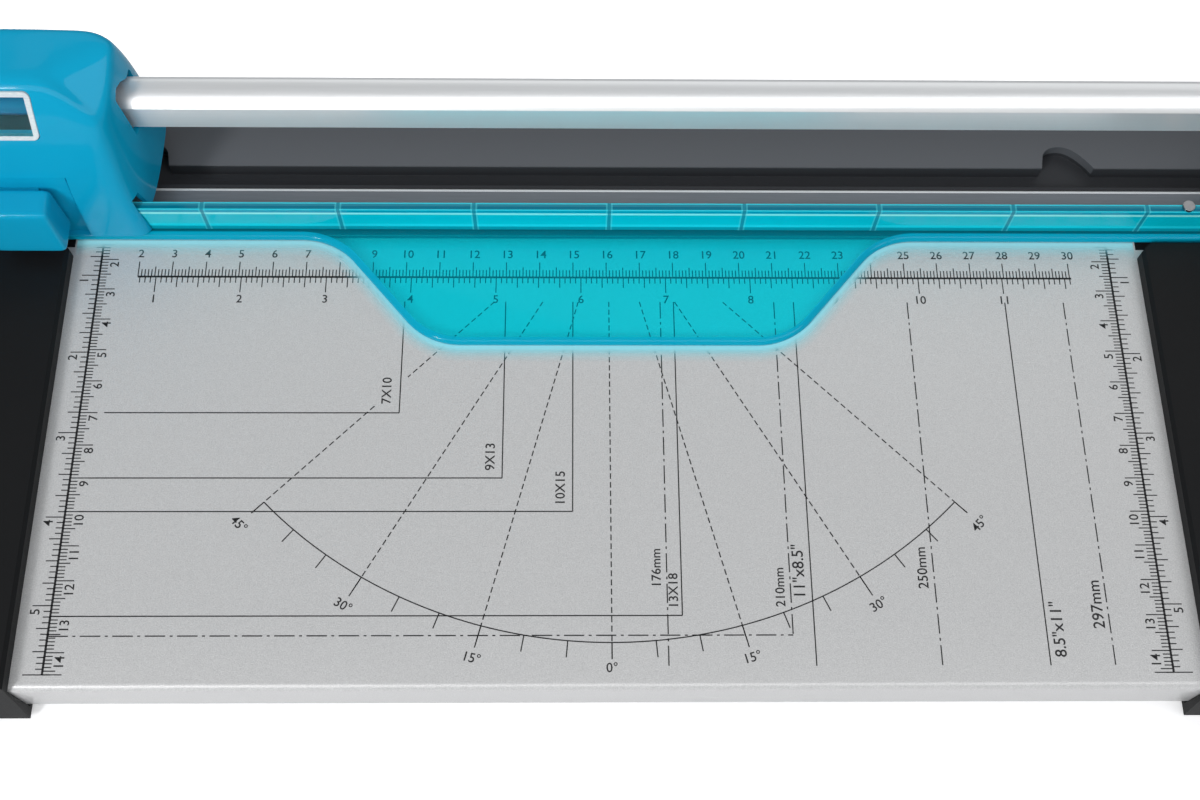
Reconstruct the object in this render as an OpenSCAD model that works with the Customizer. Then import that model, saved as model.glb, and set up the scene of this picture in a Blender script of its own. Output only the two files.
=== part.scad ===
// Rotary paper trimmer: steel table, moulded ends, aluminium rail, sliding cutter head
// and a clear paper clamp. Width along X, the cutting line along X, depth along Y, up is Z.

/* [Base] */
// Overall width across the two end caps
overall_w = 446; // [434:1:460]
// Overall depth from the caps' front to the tray's back
overall_d = 193.5; // [188:0.5:210]
// Height of the table's top above the desk
table_h = 22; // [21:0.5:25]
// Width of an end cap
cap_w = 62.25; // [59:0.25:67]
// Distance from the cutting line to the tray's back
cut_back = 40; // [38:0.5:46]
// Gap between the caps' lower edge and the desk
desk_gap = 2; // [1.5:0.25:3]
// Radius of a rubber foot
foot_r = 7; // [6:0.25:7.5]
// Depth of a foot's seat
foot_seat = 1.6; // [1:0.2:2.4]

/* [Table] */
// Thickness of the sheet steel
plate_t = 1; // [0.8:0.1:1.2]
// Outer radius of the front fold
fold_r = 2; // [1.6:0.1:3]
// Height of the folded front face
skirt_h = 18; // [15:0.5:18.5]
// Width of the flange folded in under the table
return_w = 9; // [7:0.5:12]
// Width of the table's margin tucked under each cap
tuck_w = 9; // [8.5:0.25:10]
// Distance from the caps' front foot to the table's front face
front_set = 3.2; // [2.6:0.1:4.5]
// Width of a stiffening channel under the table
channel_w = 24; // [20:1:30]
// Depth of a stiffening channel
channel_h = 9; // [6:0.5:12]

/* [End caps] */
// Height of the caps above the table
cap_rise = 5; // [4.6:0.1:6]
// Wall thickness of the mouldings
cap_wall = 2.4; // [2:0.1:2.8]
// Lean of the front face from foot to top
cap_lean = 2.8; // [2:0.1:4]
// Chamfer of the outer front corner
corner_cut = 7; // [4:0.5:10]
// Chamfer of the inner corner beside the clamp
inner_cut = 3.4; // [2:0.2:4]
// Distance from the cutting line to the caps' raised back edge
wing_back = 15.6; // [15.4:0.1:17]
// Thickness of a rail tower
tower_w = 17.5; // [17:0.25:19]
// Height of a tower above the table
tower_h = 50; // [48:0.5:56]
// Reach of a tower's slope in front of the cutting line
tower_front = 47; // [40:1:56]

/* [Rear tray] */
// Distance from the cutting line to the strip's front edge
strip_front = 7; // [6.6:0.1:7.1]
// Distance from the cutting line to the strip's back edge
strip_back = 5.3; // [4.8:0.1:5.8]
// Thickness of the cutting strip
strip_t = 3; // [2.4:0.1:3.6]
// Distance from the cutting line to the ledge
ledge_y = 13; // [12:0.5:15]
// Depth of the trough behind the strip
trough_d = 5; // [4:0.25:6]
// Width of a finger notch in the ledge
notch_w = 16.5; // [14:0.5:20]
// Reach of a finger notch into the ledge
notch_reach = 8; // [6:0.5:10]
// Distance from the cap's inner edge to the finger notch
notch_in = 8.5; // [6:0.5:14]

/* [Guide rail] */
// Height of the rail's underside above the table
rail_z = 31.7; // [31.2:0.1:33]
// Distance from the cutting line to the rail's face
rail_y = 6; // [5.8:0.1:6.4]
// Depth of the rail
rail_d = 9.5; // [9:0.1:10]
// Height of the rail
rail_h = 12.2; // [11.8:0.1:12.6]
// Height of the rail's flat face under the crown
rail_face_h = 8.8; // [8.2:0.1:9.2]
// Wall thickness of the extrusion
rail_wall = 1.3; // [1:0.1:1.5]
// Depth of the rail's seat in a tower
socket_d = 12; // [9:0.5:12.5]

/* [Paper clamp] */
// Travel of the clamp
clamp_travel = 1.2; // [0.8:0.1:1.2]
// Thickness of the flange and the tab
flange_t = 2; // [1.6:0.1:2.2]
// Height of the clamp's top above the table
clamp_h = 15; // [14:0.25:15.4]
// Distance from the cutting line to the wall's face
clamp_y = 11.5; // [11.4:0.05:11.6]
// Thickness of the wall
clamp_wall = 1.5; // [1.2:0.1:1.6]
// Depth of the ledge on top of the wall
ledge_d = 2.7; // [2.4:0.1:3]
// Reach of the flange in front of the cutting line
flange_y = 14.2; // [13.6:0.1:14.6]
// Reach of the finger tab in front of the cutting line
tab_y = 49.2; // [42:0.2:56]
// Half width of the tab's straight front edge
tab_half = 43.5; // [30:0.5:55]
// Radius of the tab's two bends
tab_r = 21; // [16:0.5:23]
// Angle of the tab's slanted sides
tab_angle = 50; // [40:1:60]
// Distance between the clamp's ribs
rib_pitch = 40; // [34:1:50]

/* [Cutter head] */
// Width of the hood at its foot
head_w = 69; // [68:0.25:72]
// Height of the hood above the table
head_h = 60; // [59:0.5:64]
// Reach of the hood in front of the cutting line
head_front = 14.5; // [14.5:0.05:14.8]
// Reach of the hood behind the cutting line
head_back = 27; // [26.5:0.25:29]
// Wall thickness of the hood
head_wall = 1.6; // [1.5:0.05:1.7]
// Gap between the hood and the left tower at rest
park_gap = 1.6; // [1:0.1:4]
// Width of the finger button
button_w = 21.6; // [18:0.2:26]
// Height of the finger button
button_h = 19; // [17:0.25:20]
// Reach of the button in front of the cutting line
button_y = 23.2; // [20:0.2:27]
// Travel of the button
press_travel = 3; // [2:0.1:3]
// Width of the window
window_w = 23; // [18:0.5:26]
// Height of the window along the hood's face
window_h = 15; // [12:0.25:16]

/* [Blade] */
// Radius of the round blade
blade_r = 14; // [12:0.1:14]
// Thickness of the blade
blade_t = 0.5; // [0.3:0.1:0.6]
// Radius of the hub
hub_r = 5; // [4:0.1:5.5]
// Radius of the axle
axle_r = 2; // [1.6:0.05:2.2]
// Gap between the pressed blade and the strip
blade_gap = 0.3; // [0.3:0.05:0.8]

/* [Hidden] */

// Fits: a slip between fixed pieces, a running fit in a bore, a loose gap and a cut's overrun
slip = 0.15;
running = 0.05;
loose = 0.3;
over = 1;

// Base planes
cut_y = overall_d / 2 - cut_back;
front_y = -overall_d / 2;
table_w = overall_w - 2 * cap_w;
inner_x = table_w / 2;
outer_x = overall_w / 2;
span = overall_w - 2 * tower_w;
plate_front = front_y + front_set;
plate_back = cut_y - strip_front - slip - running;
cap_top = table_h + cap_rise;
rib_t = 1.6;
edge_r = 1;

// Screws: shank, head and the pilot that the thread bites in
screw_r = 1.45;
screw_head_r = 2.7;
screw_head_t = 1.8;
pilot_r = screw_r + running;

// Table margin: its screws sit in the cells of the caps
margin_screw_x = inner_x + cap_wall + screw_head_r + loose;
cell_rows = 3;
cells_y0 = front_y + cap_lean + cap_wall;
cells_y1 = cut_y - wing_back - cap_wall;
cell_d = (cells_y1 - cells_y0 - (cell_rows - 1) * rib_t) / cell_rows;
cells_x0 = inner_x + tuck_w + slip + rib_t;
cells_x1 = outer_x - cap_wall;
cell_cut = max(edge_r, corner_cut - cap_lean - cap_wall * (2 - sqrt(2)));

// Feet: one under each front corner and one under each tower
foot_x = outer_x - tower_w / 2;
foot_front_y = front_y + corner_cut + foot_r + cap_lean;
foot_back_y = cut_y + cut_back - cap_wall - foot_r - rib_t;
foot_h = desk_gap + foot_seat;
pad_h = 5;

// Tower outline, from the cutting line
crest_front_share = 0.2;
crest_back_share = 0.6;
tower_foot_share = 0.24;
tower_r = 10;
core_h = rail_z - rail_wall - 2 * cap_wall - over;

// Tray: screws stand on tabs that reach in from the towers
tab_t = 4;
tab_reach = 15;
tab_in_share = 0.32;
lip_w = 1.2;
lip_drop = 0.6;
tray_r = 4;
tray_ribs = 5;
tray_boss_r = 4;
tray_screw_x = span / 2 - tab_reach / 2;
tray_screw_y = [cut_y + ledge_y, cut_y + cut_back - cap_wall - tray_boss_r - slip];
shelf_d = 12;
strip_bevel = 0.6;

// Rail section
back_r = 1.8;
crown_run = rail_d - back_r;
crown_drop = rail_h - rail_face_h;
crown_r = (crown_run * crown_run + crown_drop * crown_drop) / (2 * crown_drop);
port_r = 1.55;
port_wall = 1.2;
port_z = [rail_z + rail_wall + port_r + port_wall / 2, rail_z + rail_h - rail_wall - port_r - port_wall];
rail_screw_l = 14;

// Clamp: guide screws at both ends, just outside the table's edge
post_x = inner_x + 1.28 * tuck_w;
post_r = 1;
boss_r = 1.75;
post_y = clamp_y - boss_r;
clamp_gap = clamp_travel + loose;
post_head_r = 1.8;
post_head_t = 1.1;
well_r = 2.3;
well_d = 8;
post_bite = 5;
clamp_half = span / 2 - park_gap / 2;
rib_w = 1;
coil_wire = 0.25;
coil_r = 1.7;
coil_turns = 5;

// Head: the hood's faces, each a direction and a point. The point is given in shares of the half
// width, of the reach in front (negative) or behind (positive) of the cut, and of the height
head_x = -span / 2 + park_gap + head_w / 2;
side_shares = [
    [1, 0, 0.03, 1.000, 0, 0.167],
    [0.95, -0.3, 0.12, 0.916, 0, 0.808],
    [0.7, -0.7, 0.193, 0.855, -0.359, 0.783],
    [0, -1, 0.06, 0, -1.000, 0.070],
    [0, -1, 0.32, 0, -0.752, 0.550]];
rear_shares = [
    [0, 1, 0.02, 0, 0.992, 0.167],
    [0, 1, 0.25, 0, 0.856, 0.750],
    [0.557, 0.9, 0.36, 0.968, 0.585, 0.968],
    [0.85, 0.53, 0.08, 0.986, 0.852, 0.200]];
crown_shares = [
    [0, -1, 0.44, 0, -0.441, 0.767],
    [0, -1, 0.75, 0, -0.076, 0.950],
    [0, 0, 1, 0, 0.370, 0.990],
    [0.6, -0.05, 0.77, 0.727, -0.110, 0.870]];
flank_shares = [
    [0, -1, 0.44, 0, -0.338, 0.767],
    [0, -1, 0.75, 0, 0.033, 0.950],
    [0.42, -0.644, 1, 0.968, 0.204, 0.877],
    [0.03, -0.04, 1, 0.696, 0.741, 0.986]];

// How sharply the faces of each group meet, and the groups with each other
side_sharp = 18;
rear_sharp = 36;
crown_sharp = 26;
flank_sharp = 60;
valley_sharp = 160;
joint_sharp = 44;
core_shares = [0, 0.222, 0.367];
hood_core = [0, core_shares[1] * head_back, core_shares[2] * head_h];
least_pull = 0.02;
hood_columns = 40;
hood_rows = 14;
rim_turns = 5;
rim_z = side_shares[3][5] * head_h;

// Clamp passage through the hood's side walls, and the raised back rim
pass_z = 19.4;
pass_front = clamp_y + 0.3 * ledge_d;
pass_back = post_y - boss_r - loose;
back_rim_z = 9.5;
leg_slope = 1.2;

// Rail hole in the hood, in side view: close behind the rail and higher above it
hole_gap = 1.3;
hole_under = 1.2;
hole_over = 7.6;
hole_fall = 1.7;
hole_r = 2.4;
hole_peak_share = 0.3;
hole_back_share = 0.68;
rail_top = rail_z + rail_h;
hole_points = [[rail_y - hole_gap, rail_z - hole_under],
    [rail_y - hole_gap, rail_top + hole_over - hole_fall],
    [rail_y + hole_peak_share * rail_d, rail_top + hole_over],
    [rail_y + hole_back_share * rail_d, rail_top + hole_over - hole_fall],
    [rail_y + hole_back_share * rail_d + hole_gap / 2, rail_top + hole_gap],
    [rail_y + rail_d + hole_gap, rail_top + hole_gap],
    [rail_y + rail_d + hole_gap, rail_z - hole_under]];
hole_corners = [0, hole_r, hole_r, hole_r, 0, hole_gap, 0];

// Pocket behind the button
pocket_half = 14.7;
pocket_floor = 12.9;
pocket_skin = 0.9;
pocket_top = 31.5;
pocket_top_y = 11;
pocket_z = rim_z + pocket_skin;
button_z = pocket_z - pocket_skin + 5.8;
stem_half = 6;
stem_z0 = pass_z + press_travel + slip;
stem_h = 4.4;

// Window on the slanted face
window_z = 50.8;
window_y = 3.5;
window_tilt = 26.4;
window_r = 2;
window_t = 1.4;
window_depth = 4;
window_proud = 0.5;

// Chassis round the rail
glide_gap = 0.3;
glide_t = 0.75;
tunnel_wall = 1;
tunnel_clear = glide_gap + glide_t + running;
chassis_half = 26;
glide_l = 8;
glide_flange_t = 1.5;
glide_flange = 1.6;
frame_x = blade_r + 0.8;
frame_t = 2.4;
frame_front = 7;
frame_back = 21;
frame_z0 = 11;
frame_shoulder = 34;
frame_nose = 2.5;
guide_z0 = 24;
guide_z1 = 30;
guide_d = 1.2;
shell_boss_r = 3.6;
shell_boss_z = 20;
shell_screw_y = 24.4;

// Blade holder and its springs
axle_z = blade_gap + press_travel + blade_r;
cheek_half = 9;
cheek_drop = 6.3;
front_cheek = 6.6;
front_cheek_t = 2;
rear_cheek = 2.2;
rear_cheek_t = 1.4;
bridge_front = 5;
bridge_z0 = 38;
bridge_z1 = 41;
block_z0 = axle_z + blade_r + 1.2;
wing_half = frame_x - loose;
spring_x = (cheek_half + frame_x) / 2 + 0.4;
spring_y = 1;
spring_r = 1.6;
spring_wire = 0.3;
spring_turns = 4;
seat_z = 30;
seat_t = 1.5;
seat_in = 10.2;
seat_half = 3;
axle_head_r = 3.2;
axle_head_t = 0.8;
clip_t = 0.6;
clip_r = 3.6;
blade_bevel = 1.2;

// Outline with rounded corners: an arc of each radius, tangent to both sides of its corner
function unit(v) = v / norm(v);
function corner_arc(a, b, c, r, steps = 6) =
    let (u = unit(a - b), v = unit(c - b), half = acos(u * v) / 2, m = b + unit(u + v) * r / sin(half),
        p = b + u * r / tan(half) - m, q = b + v * r / tan(half) - m,
        start = atan2(p[1], p[0]), turn = atan2(p[0] * q[1] - p[1] * q[0], p * q))
    [for (i = [0:steps]) m + r * [cos(start + turn * i / steps), sin(start + turn * i / steps)]];
function rounded(p, r) = let (n = len(p))
    [for (i = [0:n - 1]) each r[i] <= 0 ? [p[i]]
        : corner_arc(p[(i + n - 1) % n], p[i], p[(i + 1) % n], r[i])];
function arc(c, r, a0, a1, steps = 10) =
    [for (i = [0:steps]) c + r * [cos(a0 + (a1 - a0) * i / steps), sin(a0 + (a1 - a0) * i / steps)]];

// Rail section, from the cutting line and the table's top, drawn in by inset
function rail_section(inset) =
    let (c = [rail_y + crown_run, rail_z + rail_h - crown_r], r = crown_r - inset,
        m = [rail_y + crown_run, rail_z + rail_h - back_r])
    concat([[rail_y + inset, rail_z + inset]],
        arc(c, r, 90 + asin((crown_run - inset) / r), 90),
        arc(m, back_r - inset, 90, 0, 5),
        [[rail_y + rail_d - inset, rail_z + inset]]);

// Coil spring as one tube: rings of wire round a helix
module coil(r, wire, height, turns) {
    per_turn = 8;
    sides = 6;
    rings = turns * per_turn;
    rise = height - 2 * wire;
    points = [for (i = [0:rings]) let (a = 360 * i / per_turn, z = wire + rise * i / rings)
        for (k = [0:sides - 1]) let (b = 360 * k / sides, w = r + wire * cos(b))
            [w * cos(a), w * sin(a), z + wire * sin(b)]];
    walls = [for (i = [0:rings - 1]) for (k = [0:sides - 1]) let (m = (k + 1) % sides)
        each [[i * sides + k, i * sides + m, (i + 1) * sides + m],
            [i * sides + k, (i + 1) * sides + m, (i + 1) * sides + k]]];
    start = [[for (k = [0:sides - 1]) sides - 1 - k]];
    end = [[for (k = [0:sides - 1]) rings * sides + k]];
    polyhedron(points, concat(walls, start, end));
}

// A section drawn in Y and Z, carried along X about the middle
module along_x(length) {
    rotate([90, 0, 90]) linear_extrude(length, center = true) children();
}

module from_cut() {
    translate([0, cut_y, table_h]) children();
}

module at_head() {
    translate([head_x, cut_y, table_h]) children();
}

module both_sides() {
    children();
    mirror([1, 0, 0]) children();
}

module round_bar(r, length) {
    cylinder(r = r, h = length, $fn = 32);
}

module rod_y(r, y0, y1) {
    translate([0, y0, 0]) rotate([-90, 0, 0]) cylinder(r = r, h = y1 - y0, $fn = 48);
}

// Places of the screws at the right-hand end
module at_margin_screws(z) {
    for (i = [0:cell_rows - 1])
        translate([margin_screw_x, cells_y0 + cell_d / 2 + i * (cell_d + rib_t), z]) children();
}

module at_tray_screws(z) {
    for (y = tray_screw_y) translate([tray_screw_x, y, z]) children();
}

module at_ports() {
    for (z = port_z)
        translate([outer_x, cut_y + rail_y + rail_d / 2, table_h + z]) rotate([0, -90, 0]) children();
}

module at_post(z) {
    translate([post_x, cut_y - post_y, z]) children();
}

// Folded sheet: flat top, rounded fold, front face and a flange folded in below
module table_section(depth) {
    inner_r = fold_r - plate_t;
    polygon(rounded([[depth, 0], [0, 0], [0, -skirt_h], [return_w, -skirt_h],
        [return_w, plate_t - skirt_h], [plate_t, plate_t - skirt_h], [plate_t, -plate_t], [depth, -plate_t]],
        [0, fold_r, fold_r, 0, 0, inner_r, inner_r, 0]));
}

module table_plate() {
    color("silver") difference() {
        translate([0, plate_front, table_h]) along_x(table_w + 2 * tuck_w)
            table_section(plate_back - plate_front);
        both_sides() {
            translate([inner_x, cut_y - wing_back - loose, table_h - plate_t - over])
                cube([tuck_w + over, wing_back + over, plate_t + 2 * over]);
            at_margin_screws(table_h - plate_t - over) round_bar(screw_r + slip, plate_t + 2 * over);
        }
    }
}

// Hat channels: two flanges against the table, a deep web between them
module plate_stiffeners() {
    flange = channel_w / 4;
    gap = (plate_back - plate_front) / 3;
    color("gray") for (i = [1:2])
        translate([0, plate_front + i * gap - shelf_d / 2, table_h - plate_t])
            along_x(table_w - 2 * loose) polygon([[-channel_w / 2, 0], [-channel_w / 2, -plate_t],
                [-flange, -plate_t], [-flange, -channel_h], [flange, -channel_h], [flange, -plate_t],
                [channel_w / 2, -plate_t], [channel_w / 2, 0], [flange - plate_t, 0],
                [flange - plate_t, plate_t - channel_h], [plate_t - flange, plate_t - channel_h],
                [plate_t - flange, 0]]);
}

// Raised wing beside the table, with a low shelf behind it for the clamp's end
module cap_wing() {
    shelf_y = plate_back;
    top_y = cut_y - wing_back;
    bevel = edge_r * sqrt(2);
    difference() {
        intersection() {
            translate([(inner_x + outer_x) / 2, 0, 0]) along_x(outer_x - inner_x)
                polygon(rounded([[front_y, desk_gap], [front_y + cap_lean, cap_top], [top_y, cap_top],
                    [top_y, table_h], [shelf_y, table_h], [shelf_y, desk_gap]],
                    [0, edge_r, edge_r, 0, 0, 0]));
            linear_extrude(cap_top + over) polygon([[inner_x, front_y], [outer_x - corner_cut, front_y],
                [outer_x, front_y + corner_cut], [outer_x, shelf_y], [inner_x, shelf_y]]);
        }
        translate([inner_x, 0, cap_top]) rotate([0, 45, 0])
            cube([bevel, overall_d, bevel], center = true);
        translate([outer_x, 0, cap_top]) rotate([0, 45, 0])
            cube([2 * bevel, overall_d, 2 * bevel], center = true);
        translate([inner_x, top_y, table_h + over / 2 + cap_rise / 2]) rotate([0, 0, 45])
            cube([inner_cut * sqrt(2), inner_cut * sqrt(2), cap_rise + over], center = true);
    }
}

// Tower that carries the rail's end, a rounded fin with a sloping front
module cap_tower() {
    low = desk_gap - table_h;
    top = tower_h;
    crest_front = -crest_front_share * tower_front;
    crest_back = crest_back_share * cut_back;
    intersection() {
        translate([outer_x - tower_w / 2, cut_y, table_h]) along_x(tower_w)
            polygon(rounded([[-tower_front, low], [-tower_front, cap_rise / 2], [crest_front, top],
                [crest_back, top], [cut_back, tower_foot_share * tower_h], [cut_back, low]],
                [0, 0, tower_r, tower_r, tower_r, 0]));
        translate([0, cut_y - tower_front - over, 0]) rotate([-90, 0, 0]) mirror([0, 1, 0])
            linear_extrude(tower_front + cut_back + 2 * over)
                polygon(rounded([[outer_x - tower_w, 0], [outer_x - tower_w, table_h + tower_h],
                    [outer_x, table_h + tower_h], [outer_x, 0]], [0, 2 * edge_r, 4 * edge_r, 0]));
    }
}

// Side view of the hollow in a tower's foot, split by a rib
module tower_core() {
    front = cap_wall - strip_front - slip;
    back = cut_back - cap_wall;
    knee = tower_foot_share * tower_h - cap_wall;
    slope = cut_back * (1 - crest_back_share) / (tower_h * (1 - tower_foot_share));
    difference() {
        polygon([[front, -table_h], [front, core_h], [back - slope * (core_h - knee), core_h],
            [back, knee], [back, -table_h]]);
        translate([(front + back - rib_t) / 2, -table_h]) square([rib_t, table_h + core_h]);
    }
}

// Right-hand end: wing, tower and tray tab, cored out from below and ribbed
module end_cap() {
    pad_r = foot_r + rib_t;
    difference() {
        union() {
            difference() {
                union() {
                    cap_wing();
                    cap_tower();
                }
                for (i = [0:cell_rows - 1]) {
                    y = cells_y0 + i * (cell_d + rib_t);
                    cut = i == 0 ? cell_cut : 0;
                    linear_extrude(cap_top - cap_wall) polygon([[cells_x0, y], [cells_x1 - cut, y],
                        [cells_x1, y + cut], [cells_x1, y + cell_d], [cells_x0, y + cell_d]]);
                    translate([inner_x + cap_wall, y, 0])
                        cube([tuck_w + slip - cap_wall, cell_d, table_h - plate_t]);
                }
                translate([outer_x - tower_w / 2, cut_y, table_h])
                    along_x(tower_w - 2 * cap_wall) tower_core();
            }
            translate([foot_x, foot_front_y, desk_gap]) cylinder(r = pad_r, h = pad_h, $fn = 48);
            intersection() {
                translate([foot_x, foot_back_y, desk_gap]) cylinder(r = pad_r, h = pad_h, $fn = 48);
                translate([outer_x - tower_w, cut_y, 0]) cube([tower_w, cut_back, cap_top]);
            }
            translate([span / 2 - tab_reach, cut_y + tab_in_share * ledge_y, desk_gap])
                cube([tab_reach + over, cut_back - cap_wall - slip - tab_in_share * ledge_y, tab_t]);
        }
        // Slot for the table's margin and its folded front
        translate([inner_x - over, plate_front - slip, table_h - skirt_h - slip])
            cube([tuck_w + slip + over, return_w + 2 * slip, skirt_h + 2 * slip]);
        translate([inner_x - over, plate_front, table_h - plate_t])
            cube([tuck_w + slip + over, cut_y - wing_back - plate_front, plate_t + slip]);
        at_margin_screws(table_h) round_bar(pilot_r, cap_rise - edge_r);
        // Seats of the feet
        for (y = [foot_front_y, foot_back_y])
            translate([foot_x, y, 0]) cylinder(r = foot_r + slip, h = desk_gap + foot_seat, $fn = 48);
        // Well and thread of the clamp's guide screw
        at_post(table_h - well_d) round_bar(well_r, well_d + over);
        at_post(table_h - well_d - post_bite) round_bar(post_r + running, post_bite + over);
        // Seat and screws of the rail
        translate([span / 2 + socket_d / 2 - over / 2, cut_y, table_h]) along_x(socket_d + over)
            polygon(rail_section(-slip));
        at_ports() translate([0, 0, -over]) {
            round_bar(screw_r + slip, tower_w + 2 * over);
            round_bar(screw_head_r + slip, screw_head_t + over);
        }
        // Screws of the tray
        at_tray_screws(0) {
            round_bar(screw_r + slip, desk_gap + tab_t + over);
            round_bar(screw_head_r + slip, desk_gap + screw_head_t);
        }
    }
}

module right_end_cap() {
    color([0.11, 0.11, 0.12]) end_cap();
}

module left_end_cap() {
    color([0.11, 0.11, 0.12]) mirror([1, 0, 0]) end_cap();
}

// Plan of a finger notch: steep on the inner side, long and gentle towards the end
function notch_plan() =
    let (apex = 0.4, steps = 8)
    concat([[0, -over]],
        [for (i = [0:steps]) let (t = i / steps)
            [apex * t * notch_w, notch_reach * pow(1 - pow(1 - t, 2.6), 1 / 2.6)]],
        [for (i = [1:steps]) let (t = i / steps)
            [(apex + (1 - apex) * t) * notch_w, notch_reach * (1 - pow(t, 1.8))]],
        [[notch_w, -over]]);

module rear_tray() {
    low = desk_gap - table_h;
    wall = cap_wall;
    channel_f = -strip_front - slip;
    channel_b = strip_back + slip;
    notch_x = inner_x - notch_in - notch_w;
    length = span - 2 * loose;
    rib_gap = (span - 2 * tab_reach - 2 * rib_t) / (tray_ribs - 1);
    color([0.13, 0.13, 0.14]) difference() {
        union() {
            from_cut() {
                along_x(length) polygon(rounded([[channel_f, -strip_t], [channel_b, -strip_t],
                    [channel_b, -lip_drop], [channel_b + lip_w, -lip_drop],
                    [channel_b + lip_w, -trough_d], [ledge_y, -trough_d],
                    [ledge_y, 0], [cut_back, 0], [cut_back, low], [cut_back - wall, low],
                    [cut_back - wall, -wall], [ledge_y + wall, -wall], [ledge_y + wall, -trough_d - wall],
                    [channel_f + wall, -trough_d - wall], [channel_f + wall, low], [channel_f, low]],
                    [0, 0, 0, 0, 0, 0, edge_r / 2, tray_r, 0, 0, tray_r - wall, 0, 0, 0, 0, 0]));
                // Shelf under the table's back edge, and the ribs behind it
                along_x(table_w - 4 * loose) polygon([[channel_f, -plate_t], [channel_f - shelf_d, -plate_t],
                    [channel_f - shelf_d, -plate_t - wall], [channel_f + wall / 2, -strip_t - wall],
                    [channel_f + wall / 2, -strip_t], [channel_f, -strip_t]]);
                for (i = [0:tray_ribs - 1]) translate([(i - (tray_ribs - 1) / 2) * rib_gap, 0, 0])
                    along_x(rib_t) polygon([[channel_f + over, -trough_d], [ledge_y + over, -trough_d],
                        [ledge_y + over, -over], [cut_back - wall / 2, -wall / 2], [cut_back - wall / 2, low],
                        [channel_f + over, low]]);
                both_sides() translate([notch_x - wall, ledge_y, -trough_d - wall])
                    cube([notch_w + 2 * wall, notch_reach + wall, trough_d + wall / 2]);
            }
            both_sides() for (i = [0:1]) translate([tray_screw_x, tray_screw_y[i], desk_gap + tab_t])
                round_bar(tray_boss_r, table_h - (1 - i) * trough_d - wall / 2 - desk_gap - tab_t);
        }
        both_sides() {
            from_cut() translate([notch_x, ledge_y, -trough_d])
                linear_extrude(trough_d + over) polygon(notch_plan());
            at_tray_screws(0) round_bar(pilot_r, desk_gap + tab_t + pad_h);
        }
    }
}

module cutting_strip() {
    color([0.45, 0.48, 0.5]) from_cut() along_x(span - 4 * loose)
        polygon([[-strip_front, -strip_t], [-strip_front, 0], [strip_back - strip_bevel, 0],
            [strip_back, -strip_bevel], [strip_back, -strip_t]]);
}

// Hollow extrusion with a crowned top and two screw ports
module guide_rail() {
    mid_y = rail_y + rail_d / 2;
    color([0.8, 0.82, 0.83]) from_cut() along_x(span + 2 * socket_d - 2 * slip) difference() {
        polygon(rail_section(0));
        difference() {
            polygon(rail_section(rail_wall));
            for (z = port_z) translate([mid_y, z]) circle(r = rail_d / 2 - rail_wall / 2, $fn = 40);
        }
        for (z = port_z) translate([mid_y, z]) circle(r = port_r, $fn = 32);
    }
}

module screw(length) {
    round_bar(screw_head_r, screw_head_t);
    round_bar(screw_r, length);
}

module rail_screws() {
    color("dimgray") both_sides() at_ports() screw(rail_screw_l);
}

module base_screws() {
    color("dimgray") both_sides() {
        at_margin_screws(table_h - plate_t - screw_head_t)
            screw(screw_head_t + plate_t + cap_rise - 2 * edge_r);
        at_tray_screws(desk_gap) screw(tab_t + pad_h - over);
    }
}

module rubber_feet() {
    color([0.1, 0.1, 0.1]) both_sides() for (y = [foot_front_y, foot_back_y]) translate([foot_x, y, 0])
        rotate_extrude($fn = 48)
            polygon([[0, 0], [foot_r - edge_r, 0], [foot_r, edge_r], [foot_r, foot_h], [0, foot_h]]);
}

// Shoulder screws that guide the clamp and stop it at the top
module clamp_screws() {
    foot = well_d + post_bite - over;
    color("silver") both_sides() {
        at_post(table_h + clamp_h) round_bar(post_head_r, post_head_t);
        at_post(table_h - foot) round_bar(post_r, foot + clamp_h + post_head_t / 2);
    }
}

module clamp_springs() {
    color("gray") both_sides() at_post(table_h - well_d)
        coil(coil_r, coil_wire, well_d + clamp_gap, coil_turns);
}

// Plan of the flange: a straight strip with the tab's ogee sides, each two equal arcs and a line
function flange_plan() =
    let (drop = tab_y - flange_y, low = tab_r * (1 - cos(tab_angle)),
        run = 2 * tab_r * sin(tab_angle) + (drop - 2 * low) / tan(tab_angle), foot = tab_half + run,
        side = concat([[clamp_half, clamp_wall - clamp_y], [clamp_half, -flange_y]],
            arc([foot, -flange_y - tab_r], tab_r, 90, 90 + tab_angle, 8),
            arc([tab_half, tab_r - tab_y], tab_r, tab_angle - 90, -90, 8)),
        n = len(side))
    concat(side, [for (i = [0:n - 1]) [-side[n - 1 - i][0], side[n - 1 - i][1]]]);

module clamp_bar() {
    count = floor((clamp_half - rib_w) / rib_pitch);
    color([0.1, 0.75, 0.82, 0.7]) difference() {
        from_cut() {
            translate([0, 0, clamp_gap]) linear_extrude(flange_t) polygon(flange_plan());
            along_x(2 * clamp_half) polygon([[-clamp_y, clamp_gap], [-clamp_y, clamp_h],
                [ledge_d - clamp_y, clamp_h], [ledge_d - clamp_y, clamp_h - clamp_wall],
                [clamp_wall - clamp_y, clamp_h - clamp_wall], [clamp_wall - clamp_y, clamp_gap]]);
            for (i = [-count:count])
                translate([i * rib_pitch - rib_w / 2, clamp_wall / 2 - clamp_y, clamp_gap])
                    cube([rib_w, ledge_d - clamp_wall / 2, clamp_h - clamp_gap - clamp_wall / 2]);
            both_sides() translate([post_x, -post_y, clamp_gap]) round_bar(boss_r, clamp_h - clamp_gap);
        }
        both_sides() at_post(table_h) round_bar(post_r + running, clamp_h + over);
    }
}

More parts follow.
